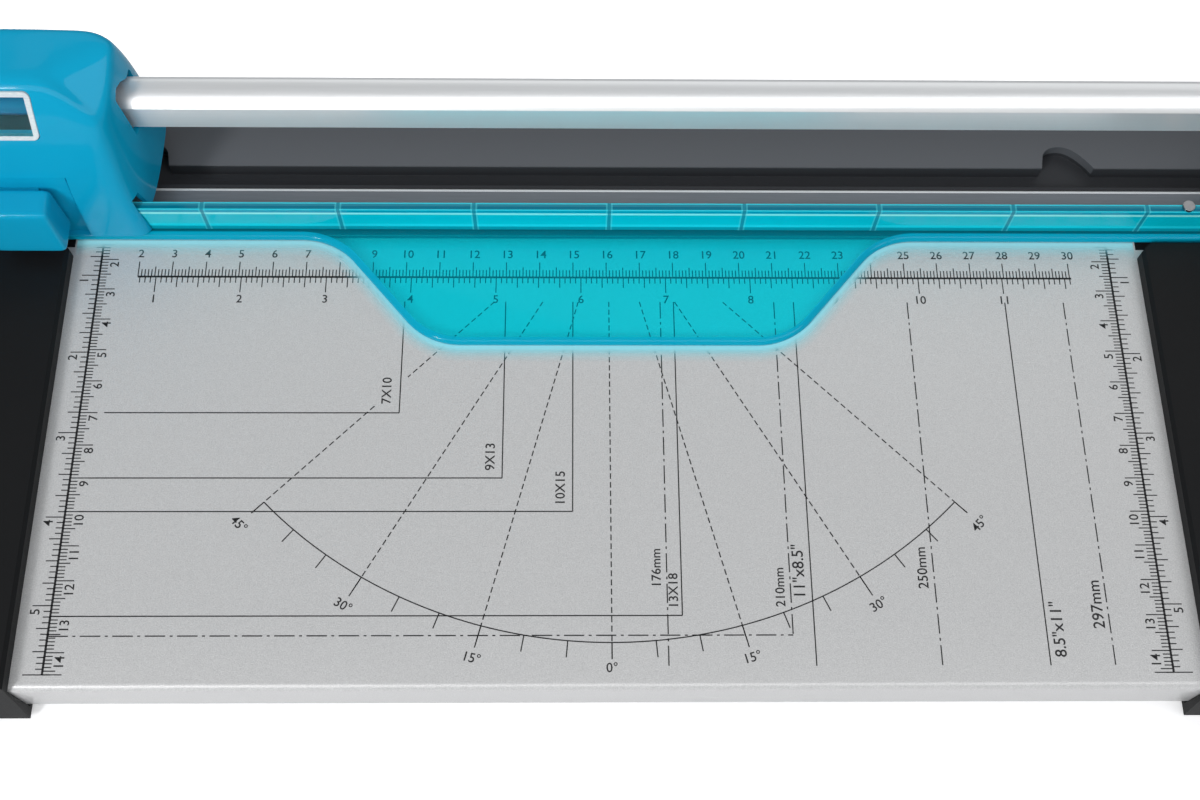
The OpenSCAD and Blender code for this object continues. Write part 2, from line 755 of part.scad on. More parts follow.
// Point of a face, and how hard the face holds back the hood in direction v, 1 at reach head_h
function face_point(s) = [s[3] * head_w / 2, s[4] * (s[4] < 0 ? head_front : head_back), s[5] * head_h];
function pull(s, v, inset) = let (n = unit([s[0], s[1], s[2]]))
    max(n * v, least_pull) * head_h / (n * (face_point(s) - hood_core) - inset);
function total(list, i = 0) = i < len(list) ? list[i] + total(list, i + 1) : 0;
function joined(pulls, sharp) = pow(total([for (g = pulls) pow(g, sharp)]), 1 / sharp);
function group(shares, v, inset, sharp) = joined([for (s = shares) pull(s, v, inset)], sharp);

// Reach of the hood from its core in direction v: its faces meet with soft edges, and the crown
// and the flanks meet in a soft valley
function hood_reach(v, inset) = let (m = [abs(v[0]), v[1], v[2]],
    top = joined([group(crown_shares, m, inset, crown_sharp),
        group(flank_shares, m, inset, flank_sharp)], -valley_sharp))
    head_h / joined([group(side_shares, m, inset, side_sharp),
        group(rear_shares, m, inset, rear_sharp), top], joint_sharp);
function ray(turn, rise) = [cos(turn) * cos(rise), sin(turn) * cos(rise), sin(rise)];
function hood_point(turn, rise, inset) = let (v = ray(turn, rise)) hood_core + hood_reach(v, inset) * v;

// Rise of the ray that meets the hood's rim, found by turns
function rim_rise(turn, inset, rise = 0, i = 0) = i == rim_turns ? rise
    : let (flat = hood_reach(ray(turn, rise), inset) * cos(rise))
        rim_rise(turn, inset, atan((rim_z - hood_core[2]) / flat), i + 1);

// Hood form, drawn in by inset and lengthened below its rim by drop
module hood(inset, drop) {
    n = hood_columns;
    turns = [for (k = [0:n - 1]) 360 * k / n];
    foot = [for (t = turns) let (p = hood_point(t, rim_rise(t, inset), inset)) [p[0], p[1], rim_z]];
    rings = [for (i = [1:hood_rows - 1]) for (t = turns) let (low = rim_rise(t, inset))
        hood_point(t, low + (90 - low) * i / hood_rows, inset)];
    first = [for (p = foot) [p[0], p[1], rim_z - drop]];
    points = concat(drop > 0 ? first : [], foot, rings, [hood_point(0, 90, inset)]);
    rows = hood_rows + (drop > 0 ? 1 : 0);
    walls = [for (i = [0:rows - 2]) for (k = [0:n - 1]) let (m = (k + 1) % n)
        each [[i * n + k, (i + 1) * n + k, (i + 1) * n + m], [i * n + k, (i + 1) * n + m, i * n + m]]];
    crown = [for (k = [0:n - 1]) [(rows - 1) * n + k, rows * n, (rows - 1) * n + (k + 1) % n]];
    polyhedron(points, concat(walls, crown, [[for (k = [0:n - 1]) k]]));
}

// Outline of the window in its own plane, and the plane on the hood's slanted face
module window_outline(grow) {
    w = window_w / 2 + grow;
    h = window_h / 2 + grow;
    r = window_r + grow;
    polygon(rounded([[-w, -h], [w, -h], [w, h], [-w, h]], [r, r, r, r]));
}

module on_face() {
    at_head() translate([0, -window_y, window_z]) rotate([90 - window_tilt, 0, 0]) children();
}

// Side view of the pocket behind the button, its floor set back by depth
function pocket_side(depth) = [[-2 * head_front, pocket_z], [depth - pocket_floor, pocket_z],
    [depth - pocket_floor, pass_z], [depth - pocket_top_y, pocket_top], [-2 * head_front, pocket_top]];

module head_shell() {
    color([0.06, 0.6, 0.78]) difference() {
        union() {
            at_head() difference() {
                hood(0, 0);
                hood(head_wall, rim_z);
            }
            at_head() intersection() {
                hood(0, 0);
                along_x(2 * (pocket_half + head_wall)) polygon([[-2 * head_front, 0],
                    [pocket_skin - pocket_floor, 0], [pocket_skin - pocket_floor, pass_z],
                    [pocket_skin - pocket_top_y, pocket_top],
                    [pocket_skin - pocket_top_y, pocket_top + head_wall],
                    [-2 * head_front, pocket_top + head_wall]]);
            }
        }
        at_head() {
            // Pocket, and the slot for the button's stem
            along_x(2 * pocket_half) polygon(pocket_side(0));
            translate([-stem_half - slip, -2 * head_front, stem_z0 - press_travel - slip])
                cube([2 * (stem_half + slip), 2 * head_front, stem_h + press_travel + 2 * slip]);
            // Passage for the clamp, open to the raised back rim
            along_x(head_w + 2 * over) polygon([[-pass_front, 0], [-pass_front, clamp_h - over],
                [-pass_front + leg_slope / 2, pass_z], [-pass_back - leg_slope / 2, pass_z],
                [-pass_back + leg_slope / 2, back_rim_z], [2 * head_back, back_rim_z], [2 * head_back, 0]]);
            // Hole for the rail
            along_x(head_w + 2 * over) polygon(rounded(hole_points, hole_corners));
            both_sides() translate([frame_x + frame_t / 2, 0, shell_boss_z]) {
                rod_y(screw_r + slip, shell_screw_y - over, 2 * head_back);
                rod_y(screw_head_r + slip, shell_screw_y + head_wall / 2, 2 * head_back);
            }
        }
        on_face() linear_extrude(2 * window_depth + 2 * over, center = true) window_outline(slip);
    }
}

// Clear insert: a pane with a short skirt into the hood
module head_window() {
    color([0.9, 0.95, 1, 0.4]) on_face() translate([0, 0, window_proud - window_depth]) difference() {
        linear_extrude(window_depth) window_outline(0);
        translate([0, 0, -over]) linear_extrude(window_depth - window_t + over) window_outline(-window_t);
    }
}

// Teal carriage: a tunnel round the rail, two side frames, spring seats and screw bosses
module head_chassis() {
    color([0.05, 0.45, 0.6]) at_head() difference() {
        union() {
            along_x(2 * chassis_half) polygon(rail_section(-tunnel_clear - tunnel_wall));
            both_sides() {
                translate([frame_x + frame_t / 2, 0, 0]) along_x(frame_t)
                    polygon([[-frame_front, frame_z0], [-frame_front, frame_shoulder],
                        [-frame_nose, rail_z + rail_h], [rail_y + rail_d, rail_z + rail_h],
                        [frame_back, rail_z + rail_h / 2], [frame_back, frame_z0]]);
                translate([frame_x - guide_d, -frame_front - guide_d, guide_z0])
                    cube([guide_d + frame_t, 2 * guide_d, guide_z1 - guide_z0]);
                translate([seat_in, -spring_y - seat_half, seat_z - seat_t])
                    cube([frame_x + over - seat_in, 2 * seat_half, seat_t]);
                translate([frame_x + frame_t / 2, 0, shell_boss_z])
                    rod_y(shell_boss_r, frame_back - over, shell_screw_y - loose);
            }
            // Rear web between the frames
            translate([-frame_x - over, frame_back - frame_t, frame_z0])
                cube([2 * (frame_x + over), frame_t, rail_z - frame_z0]);
        }
        along_x(2 * (chassis_half + over)) polygon(rail_section(-tunnel_clear));
        both_sides() translate([frame_x + frame_t / 2, 0, shell_boss_z])
            rod_y(pilot_r, frame_back - 4 * frame_t, 2 * head_back);
    }
}

// Slide bushes pressed into the tunnel's mouths, each with a flange outside
module rail_glides() {
    color([0.9, 0.9, 0.88]) at_head() both_sides() difference() {
        union() {
            translate([chassis_half - glide_l / 2, 0, 0]) along_x(glide_l)
                polygon(rail_section(-glide_gap - glide_t));
            translate([chassis_half + glide_flange_t / 2, 0, 0]) along_x(glide_flange_t)
                polygon(rail_section(-tunnel_clear - glide_flange / 2));
        }
        translate([chassis_half, 0, 0]) along_x(2 * glide_l + 2 * over) polygon(rail_section(-glide_gap));
    }
}

module shell_screws() {
    color("dimgray") at_head() both_sides() translate([frame_x + frame_t / 2, 0, shell_boss_z]) {
        rod_y(screw_head_r, shell_screw_y + head_wall / 2, shell_screw_y + head_wall / 2 + screw_head_t);
        rod_y(screw_r, frame_back - 2 * frame_t, shell_screw_y + head_wall);
    }
}

module return_springs() {
    color("silver") at_head() both_sides() translate([spring_x, -spring_y, seat_z])
        coil(spring_r, spring_wire, bridge_z0 - seat_z, spring_turns);
}

// Finger button: a tapered block with soft edges, and the stem that reaches through the hood
module press_button() {
    half = button_w / 2;
    back = pocket_floor + slip;
    r = 1.8;
    top_half = half - over;
    color([0.06, 0.55, 0.75]) at_head() {
        hull() for (x = [-1, 1]) for (y = [r - button_y, -back - r]) {
            translate([x * (half - r), y, button_z + r]) sphere(r = r, $fn = 24);
            translate([x * (top_half - r), y, button_z + button_h - r]) sphere(r = r, $fn = 24);
        }
        translate([-stem_half, -back - r, stem_z0]) cube([2 * stem_half, back + r - front_cheek, stem_h]);
    }
}

// Bracket with a cheek on each side of the wheel, bridged above it, with a wing over each spring
module blade_holder() {
    deep = front_cheek + rear_cheek + rear_cheek_t;
    color([0.25, 0.23, 0.22]) at_head() difference() {
        union() {
            translate([-cheek_half, -front_cheek, axle_z - cheek_drop])
                cube([2 * cheek_half, front_cheek_t, block_z0 + over - axle_z + cheek_drop]);
            translate([-cheek_half, rear_cheek, axle_z - cheek_drop])
                cube([2 * cheek_half, rear_cheek_t, bridge_z0 + over - axle_z + cheek_drop]);
            translate([-cheek_half, -front_cheek, block_z0])
                cube([2 * cheek_half, deep, over + front_cheek_t]);
            translate([-cheek_half, -bridge_front, block_z0])
                cube([2 * cheek_half, deep - front_cheek + bridge_front, bridge_z1 - block_z0]);
            translate([-wing_half, -bridge_front, bridge_z0])
                cube([2 * wing_half, deep - front_cheek + bridge_front, bridge_z1 - bridge_z0]);
        }
        translate([0, 0, axle_z]) rod_y(axle_r + running, -2 * front_cheek, 2 * front_cheek);
    }
}

module blade_axle() {
    end_y = rear_cheek + rear_cheek_t;
    color("silver") at_head() translate([0, 0, axle_z]) {
        rod_y(axle_r, -front_cheek - axle_head_t / 2, end_y + 2 * clip_t);
        rod_y(axle_head_r, -front_cheek - axle_head_t, -front_cheek);
    }
}

module axle_clip() {
    end_y = rear_cheek + rear_cheek_t;
    color("gray") at_head() translate([0, 0, axle_z]) difference() {
        rod_y(clip_r, end_y, end_y + clip_t);
        rod_y(axle_r + running, end_y - over, end_y + over);
        translate([-axle_r / 2, end_y - over, -2 * clip_r]) cube([axle_r, 2 * over, 2 * clip_r]);
    }
}

// Round blade ground to an edge from both sides
module blade_wheel() {
    t = blade_t / 2;
    color([0.75, 0.77, 0.8]) at_head() translate([0, 0, axle_z]) rotate([90, 0, 0]) rotate_extrude($fn = 96)
        polygon([[hub_r + running, -t], [blade_r - blade_bevel, -t], [blade_r, 0], [blade_r - blade_bevel, t],
            [hub_r + running, t]]);
}

// Hub: a spool that the blade is threaded on, with a shoulder on its front side
module blade_hub() {
    shoulder = 1.6;
    color([0.15, 0.15, 0.16]) at_head() translate([0, 0, axle_z]) difference() {
        union() {
            rod_y(hub_r, front_cheek_t - front_cheek + loose, rear_cheek - loose);
            rod_y(hub_r + shoulder, front_cheek_t - front_cheek + loose, -blade_t / 2);
        }
        rod_y(axle_r + running, -2 * front_cheek, 2 * front_cheek);
    }
}

table_plate();
plate_stiffeners();
left_end_cap();
right_end_cap();
rear_tray();
cutting_strip();
guide_rail();
rail_screws();
base_screws();
rubber_feet();
clamp_screws();
clamp_springs();
clamp_bar();
head_shell();
head_window();
head_chassis();
rail_glides();
shell_screws();
return_springs();
press_button();
blade_holder();
blade_axle();
axle_clip();
blade_wheel();
blade_hub();
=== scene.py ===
"""A rotary paper trimmer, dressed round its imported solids: table, ends, rail, clamp and cutter head."""
import math

import bmesh
import bpy
import numpy as np
from mathutils import Matrix, Vector


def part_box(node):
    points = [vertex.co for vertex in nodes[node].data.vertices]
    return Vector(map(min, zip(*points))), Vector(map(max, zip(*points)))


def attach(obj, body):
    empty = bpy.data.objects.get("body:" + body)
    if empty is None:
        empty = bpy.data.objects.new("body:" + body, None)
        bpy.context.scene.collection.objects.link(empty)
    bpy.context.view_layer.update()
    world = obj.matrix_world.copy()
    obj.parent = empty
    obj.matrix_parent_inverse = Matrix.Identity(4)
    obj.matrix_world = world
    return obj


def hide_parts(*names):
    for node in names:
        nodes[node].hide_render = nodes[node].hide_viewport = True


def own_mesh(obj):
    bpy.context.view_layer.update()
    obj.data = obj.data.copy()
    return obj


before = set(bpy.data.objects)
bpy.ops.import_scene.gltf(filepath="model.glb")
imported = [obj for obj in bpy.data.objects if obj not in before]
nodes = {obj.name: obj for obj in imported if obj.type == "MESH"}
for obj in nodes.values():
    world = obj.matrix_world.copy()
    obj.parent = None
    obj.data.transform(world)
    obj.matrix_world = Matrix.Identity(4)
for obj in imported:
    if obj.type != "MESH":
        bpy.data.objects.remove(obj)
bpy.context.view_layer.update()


# Camera: it looks down on the cutting line from the front. Its place and turn were solved from the
# centimetre rulers printed on the table.
scene = bpy.context.scene


def stand(name, data):
    """A new object for a mesh, a lamp or the camera, linked to the scene."""
    made = bpy.data.objects.new(name, data)
    scene.collection.objects.link(made)
    return made


eye = (-0.01035, -0.18193, 0.41950)
yaw, pitch, roll = (math.radians(angle) for angle in (2.4814, 66.4877, 2.3237))
aim = Vector((math.sin(yaw) * math.cos(pitch), math.cos(yaw) * math.cos(pitch), -math.sin(pitch)))
level = Vector((math.cos(yaw), -math.sin(yaw), 0.0))
rise = level.cross(aim)
right = level * math.cos(roll) + rise * math.sin(roll)
up = rise * math.cos(roll) - level * math.sin(roll)
lens = bpy.data.cameras.new("camera")
lens.sensor_width = 36.0
lens.lens = 44.876
lens.clip_start = 0.01
camera = stand("camera", lens)
camera.matrix_world = Matrix.Translation(eye) @ Matrix((right, up, -aim)).transposed().to_4x4()
scene.camera = camera
scene.view_settings.view_transform = "Standard"


# Studio: a white sweep under the trimmer, a wide soft lamp over its front, a key from the left and a
# weak fill from behind. The sweep shows white to the camera and through clear plastic, and keeps the
# soft shadow at the trimmer's foot.
class Wire:
    """An output socket of a material's nodes. +, - and * on it add Math nodes."""

    def __init__(self, tree, socket=None):
        self.tree = tree
        self.socket = socket

    def node(self, kind, settings=None, inputs=None, output=0):
        """Adds one node: its settings first, a ramp's stops among them, then values or wires."""
        made = self.tree.nodes.new(kind)
        for name, value in (settings or {}).items():
            if name == "stops":
                marks = made.color_ramp.elements
                while len(marks) < len(value):
                    marks.new(1.0)
                for mark, (place, shade) in zip(marks, value):
                    mark.position = place
                    mark.color = (*shade, 1.0)
            else:
                setattr(made, name, value)
        for name, value in (inputs or {}).items():
            if isinstance(value, Wire):
                self.tree.links.new(value.socket, made.inputs[name])
            else:
                made.inputs[name].default_value = value
        return Wire(self.tree, made.outputs[output] if len(made.outputs) else None)

    def maths(self, operation, first, second=0.0):
        """Adds one Math node."""
        return self.node("ShaderNodeMath", {"operation": operation}, {0: first, 1: second})

    def __add__(self, other):
        return self.maths("ADD", self, other)

    def __sub__(self, other):
        return self.maths("SUBTRACT", self, other)

    def __rsub__(self, other):
        return self.maths("SUBTRACT", other, self)

    def __mul__(self, other):
        return self.maths("MULTIPLY", self, other)

    __radd__ = __add__
    __rmul__ = __mul__


def material(name):
    """An empty node material and the wire that its nodes are added through."""
    made = bpy.data.materials.new(name)
    made.use_nodes = True
    made.node_tree.nodes.clear()
    return made, Wire(made.node_tree)


def surface(made, wire, shader):
    """Leads a shader to the material's output."""
    wire.node("ShaderNodeOutputMaterial", inputs={"Surface": shader})


def spot(wire, axis=None):
    """Object coordinates, or one of them by its letter."""
    place = wire.node("ShaderNodeTexCoord", output="Object")
    return wire.node("ShaderNodeSeparateXYZ", inputs={0: place}, output=axis) if axis else place


def between(wire, value, low, high, start=0.0, end=1.0):
    """Runs from start to end as value goes from low to high."""
    return wire.node("ShaderNodeMapRange", inputs={"Value": value, "From Min": low, "From Max": high,
                                                   "To Min": start, "To Max": end})


def either(wire, factor, first, second):
    """The first shader where factor is 0, and the second where it is 1."""
    return wire.node("ShaderNodeMixShader", inputs={0: factor, 1: first, 2: second})


def glow(wire, colour, strength):
    """Light of a colour."""
    return wire.node("ShaderNodeEmission", inputs={"Color": (*colour, 1.0), "Strength": strength})


sweep_paint, wire = material("sweep_white")
ray = wire.node("ShaderNodeLightPath", output="Is Camera Ray")
through_ray = wire.node("ShaderNodeLightPath", output="Is Transmission Ray")
matte = wire.node("ShaderNodeBsdfDiffuse", inputs={"Color": (0.86, 0.86, 0.87, 1.0)})
near_lit = glow(wire, (1.0, 1.0, 1.0), 0.31)
far_lit = glow(wire, (1.0, 1.0, 1.0), 0.85)
# The sweep brightens away from a flat ellipse round the trimmer
from_front = wire.node("ShaderNodeMapping", inputs={"Vector": spot(wire), "Location": (0.0, 0.1, 0.0),
                                                    "Scale": (0.4, 1.0, 1.0)})
apart = wire.node("ShaderNodeVectorMath", {"operation": "LENGTH"}, {0: from_front}, output="Value")
lit = either(wire, between(wire, apart, 0.06, 0.22), near_lit, far_lit)
shown = wire.node("ShaderNodeAddShader", inputs={0: matte, 1: lit})
surface(sweep_paint, wire, either(wire, ray + through_ray, matte, shown))
sweep_mesh = bpy.data.meshes.new("sweep")
far_out = 3.0
sweep_mesh.from_pydata([(-far_out, -far_out, 0), (far_out, -far_out, 0), (far_out, far_out, 0),
                        (-far_out, far_out, 0)], [], [(0, 1, 2, 3)])
sweep_mesh.materials.append(sweep_paint)
sweep = stand("sweep", sweep_mesh)

world = bpy.data.worlds.new("studio")
world.use_nodes = True
world.node_tree.nodes.clear()
wire = Wire(world.node_tree)
ray = wire.node("ShaderNodeLightPath", output="Is Camera Ray")
room = wire.node("ShaderNodeBackground", inputs={"Color": (0.95, 0.98, 1.0, 1.0), "Strength": 0.30})
white = wire.node("ShaderNodeBackground", inputs={"Color": (1.0, 1.0, 1.0, 1.0), "Strength": 1.0})
wire.node("ShaderNodeOutputWorld", inputs={"Surface": either(wire, ray, room, white)})
scene.world = world


def lamp(name, size, power, place, target):
    """A rectangular soft lamp at place, turned to target."""
    light = bpy.data.lights.new(name, "AREA")
    light.shape = "RECTANGLE"
    light.size, light.size_y = size
    light.energy = power
    holder = stand(name, light)
    away = Vector(place) - Vector(target)
    holder.matrix_world = Matrix.Translation(place) @ away.to_track_quat("Z", "Y").to_matrix().to_4x4()


lamp("left_key", (0.25, 0.5), 15.0, (-0.92, -1.19, 1.12), (-0.1, 0.0, 0.0))
lamp("front_box", (2.6, 0.8), 13.0, (0.25, -0.80, 1.45), (0.0, 0.0, 0.03))
lamp("back_fill", (2.0, 0.8), 3.0, (0.3, 1.0, 1.3), (0.0, 0.0, 0.03))


# Table: one folded sheet of steel with a fine grained silver paint. Its margins are screwed up into
# the end caps, and its front is folded down and in again.
table_top = 0.022
table_left = -0.16075
cut_line = 0.05675


def grain(wire, size, detail=3.0, stretch=None):
    """Noise on Object coordinates whose features are about size metres wide."""
    place = spot(wire)
    if stretch:
        place = wire.node("ShaderNodeMapping", inputs={"Vector": place, "Scale": stretch})
    return wire.node("ShaderNodeTexNoise", {"noise_dimensions": "3D"},
                     {"Vector": place, "Scale": 1.0 / size, "Detail": detail, "Roughness": 0.6})


def bump(wire, height, depth):
    """A Bump node's normal for a height of 0 to 1 that stands for depth metres."""
    return wire.node("ShaderNodeBump", inputs={"Height": height, "Distance": depth, "Strength": 1.0})


def tint(wire, factor, low, high):
    """A colour between low and high by factor. Each is a triple or a wire."""
    low, high = (end if isinstance(end, Wire) else (*end, 1.0) for end in (low, high))
    return wire.node("ShaderNodeMix", {"data_type": "RGBA"}, {0: factor, 6: low, 7: high}, output=2)


def gloss(wire, **sockets):
    """A Principled shader; socket names are written with underscores for spaces."""
    return wire.node("ShaderNodeBsdfPrincipled",
                     inputs={name.replace("_", " "): value for name, value in sockets.items()})


table_paint, wire = material("table_paint")
fleck = grain(wire, 0.00036, 1.0)
cloud = grain(wire, 0.0012, 2.0)
shade = tint(wire, fleck * 1.1 + cloud * 0.3 - 0.2, (0.47, 0.47, 0.475), (0.72, 0.72, 0.72))
surface(table_paint, wire, gloss(wire, Base_Color=shade, Metallic=0.2, Roughness=0.36 + fleck * 0.2,
                                 Coat_Weight=0.5 + cloud * 0.2, Coat_Roughness=0.14,
                                 Normal=bump(wire, fleck + cloud, 0.00006)))


def shade_smooth(form, angle):
    """Shades the form smooth, with a hard line wherever two faces meet at more than angle."""
    for face in form.faces:
        face.smooth = True
    for edge in form.edges:
        edge.smooth = edge.calc_face_angle(0.0) < angle


hard_edge = math.radians(32.0)
flat_enough = math.radians(0.6)
same_corner = 1e-6


def soften(node, finish, body, width):
    """The node's own form: loose triangles merged, flat faces joined, and each edge sharper than
    hard_edge rounded over width."""
    mesh = nodes[node].data.copy()
    mesh.name = node + "_soft"
    form = bmesh.new()
    form.from_mesh(mesh)
    bmesh.ops.remove_doubles(form, verts=form.verts, dist=same_corner)
    bmesh.ops.dissolve_limit(form, angle_limit=flat_enough, verts=form.verts, edges=form.edges)
    shade_smooth(form, hard_edge)
    form.to_mesh(mesh)
    form.free()
    mesh.materials.clear()
    mesh.materials.append(finish)
    piece = stand(mesh.name, mesh)
    if width:
        edges = piece.modifiers.new("edges", "BEVEL")
        edges.width = width
        edges.segments = 2
        edges.limit_method = "ANGLE"
        edges.angle_limit = hard_edge
        edges.harden_normals = True
    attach(piece, body)
    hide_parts(node)
    return piece


soften("table_plate", table_paint, "base", 0.00012)

zinc, wire = material("zinc_plate")
spangle = grain(wire, 0.006, 2.0)
surface(zinc, wire, gloss(wire, Base_Color=tint(wire, spangle, (0.48, 0.49, 0.50), (0.66, 0.67, 0.68)),
                          Metallic=1.0, Roughness=0.30 + spangle * 0.2))
soften("plate_stiffeners", zinc, "base", 0.0002)


# Printed scales: black ink on the table. Centimetres and inches on three rulers, the sheet sizes'
# corner lines, and a protractor centred on the cutting line.
ink, wire = material("printing_ink")
ink_black = tint(wire, grain(wire, 0.0004), (0.008, 0.008, 0.009), (0.02, 0.02, 0.022))
surface(ink, wire, gloss(wire, Base_Color=ink_black, Roughness=0.5))
ink_low, ink_high = table_top - 0.00001, table_top + 0.00003


def on_table(points):
    """Centimetres right of the left cap's edge and in front of the cutting line, as metres."""
    points = np.asarray(points, float).reshape(-1, 2)
    return np.column_stack([table_left + points[:, 0] / 100, cut_line - points[:, 1] / 100])


def strokes(lines, width):
    """Corners and faces of one thin box for each line of (x0, y0, x1, y1) in table centimetres:
    the line's two ends, moved half a width to either side."""
    lines = np.asarray(lines, float).reshape(-1, 4)
    start, end = on_table(lines[:, :2]), on_table(lines[:, 2:])
    along = (end - start) / np.linalg.norm(end - start, axis=1)[:, None]
    side = np.column_stack([-along[:, 1], along[:, 0]]) * width / 2
    flat = np.stack([start - side, end - side, end + side, start + side], axis=1)
    low = np.concatenate([flat, np.full(flat.shape[:2] + (1,), ink_low)], axis=2)
    high = np.concatenate([flat, np.full(flat.shape[:2] + (1,), ink_high)], axis=2)
    corners = np.concatenate([low, high], axis=1).reshape(-1, 3)
    box = np.array([(3, 2, 1, 0), (4, 5, 6, 7), (0, 1, 5, 4), (1, 2, 6, 5), (2, 3, 7, 6), (3, 0, 4, 7)])
    return corners, (box + 8 * np.arange(len(lines))[:, None, None]).reshape(-1, 4)


def dashes(line, pattern):
    """A line cut by a repeating pattern of (drawn, blank) lengths in centimetres."""
    line = np.asarray(line, float)
    whole = np.hypot(*(line[2:] - line[:2]))
    place, parts = 0.0, []
    while place < whole:
        for drawn, blank in pattern:
            ends = np.clip([place, place + drawn], 0, whole) / whole
            if ends[1] - ends[0] > 1e-4:
                parts.append(np.concatenate([line[:2] + (line[2:] - line[:2]) * e for e in ends]))
            place += drawn + blank
    return parts


def join(name, groups, finish):
    """One object from groups of (corners, faces)."""
    counted, corners, faces = 0, [], []
    for points, polygons in groups:
        corners.append(np.asarray(points))
        faces.extend((np.asarray(polygon) + counted).tolist() for polygon in polygons)
        counted += len(points)
    mesh = bpy.data.meshes.new(name)
    mesh.from_pydata(np.concatenate(corners).tolist(), [], faces)
    mesh.materials.append(finish)
    return stand(name, mesh)


across, ahead, ruler_end = (2.0, 30.05), 2.58, 14.6
inch, sixteenth = 2.54, 0.15875
mm_steps, inch_steps = (10, 5, 1), (16, 4, 1)


def tick_length(count, steps, lengths):
    """Each tick's length: the first whose step divides its number."""
    return next(length for step, length in zip(steps, lengths) if count % step == 0)


fine, heavy = [], [(across[0], ahead, across[1], ahead)]
for count in range(20, 301):
    fine.append((count / 10, ahead, count / 10, ahead - tick_length(count, mm_steps, (0.51, 0.34, 0.25))))
for count in range(13, 190):
    long = tick_length(count, inch_steps, (0.52, 0.35, 0.20))
    fine.append((count * sixteenth, ahead, count * sixteenth, ahead + long))
rulers = ((0.85, 1), (31.25, -1))
for line_x, inward in rulers:
    heavy.append((line_x, 1.47, line_x, ruler_end))
    for count in range(15, 147):
        long = tick_length(count, mm_steps, (0.51, 0.34, 0.22)) * inward
        fine.append((line_x, count / 10, line_x + long, count / 10))
    for count in range(10, 92):
        long = tick_length(count, inch_steps, (0.52, 0.34, 0.20)) * inward
        fine.append((line_x, count * sixteenth, line_x - long, count * sixteenth))
    fine.append((line_x - 0.52, ruler_end, line_x + 0.52, ruler_end))

# Each photo size's corner: its width, its height, and where its lower line starts
line_start, line_end = 3.4, 14.4
sizes = ((10, 7, 1.55), (13, 9, 1.35), (15, 10, 1.25), (18, 13, 0.85))
thin = [line for x, y, start in sizes for line in ((x, line_start, x, y), (start, y, x, y))]
thin += [(x, line_start, x, line_end) for x in (21.59, 27.94)]
chain = ((0.55, 0.12), (0.08, 0.12))
for x, end in ((17.6, line_end), (21.0, 13.55), (25.0, line_end), (29.7, line_end)):
    thin += dashes((x, line_start, x, end), chain)
thin += dashes((0.85, 13.55, 21.0, 13.55), chain)

# The protractor's arc is a row of short chords
middle, sweep_r = 16.07, 13.75
marked_angles, short_tick, long_tick = (-45, -30, -15, 0, 15, 30, 45), 0.46, 0.62


def radial(angle, near, far):
    """A line on the ray at angle degrees from straight ahead, between two radii."""
    turn = np.array([math.sin(math.radians(angle)), math.cos(math.radians(angle))])
    return np.concatenate([turn * near, turn * far]) + np.array([middle, 0, middle, 0])


for angle in marked_angles:
    near = line_start / math.cos(math.radians(angle))
    runs = ((near, 8.3), (9.6, sweep_r)) if angle == -45 else ((near, sweep_r),)
    thin += [part for run in runs for part in dashes(radial(angle, *run), ((0.17, 0.09),))]
    thin.append(radial(angle, sweep_r, sweep_r + (long_tick if abs(angle) in (15, 30) else short_tick)))
for angle in range(-45, 46, 5):
    thin.append(radial(angle, sweep_r, sweep_r + short_tick))
turns = np.radians(np.linspace(-45, 45, 91))
rim = np.column_stack([middle + sweep_r * np.sin(turns), sweep_r * np.cos(turns)])
thin += np.column_stack([rim[:-1], rim[1:]]).tolist()
scales = join("printed_scales", [strokes(lines, width) for lines, width in
                                 ((heavy, 0.00062), (fine, 0.00031), (thin, 0.00034))], ink)
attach(scales, "base")


digit_share, letter_depth, letter_swell = 0.7, 0.00002, 0.00003
letter_lift = (ink_low + ink_high) / 2 + 0.000002


def lettering(labels):
    """Mesh groups of short texts: each (text, height, x, y, turn) is centred on its place. A digit
    stands digit_share of the font's size high."""
    for text, height, x, y, turn in labels:
        words = bpy.data.curves.new("label", "FONT")
        words.body = text
        words.size = height / digit_share
        words.align_x, words.align_y = "CENTER", "CENTER"
        words.extrude = letter_depth
        words.offset = letter_swell
        words.resolution_u = 3
        holder = bpy.data.objects.new("label", words)
        shape = holder.to_mesh()
        points = np.empty(len(shape.vertices) * 3)
        shape.vertices.foreach_get("co", points)
        points = points.reshape(-1, 3)
        angle = math.radians(turn)
        spin = np.array([[math.cos(angle), math.sin(angle)], [-math.sin(angle), math.cos(angle)]])
        points[:, :2] = points[:, :2] @ spin + on_table([(x, y)])
        points[:, 2] += letter_lift
        yield points, [tuple(face.vertices) for face in shape.polygons]
        holder.to_mesh_clear()
        bpy.data.objects.remove(holder)
        bpy.data.curves.remove(words)


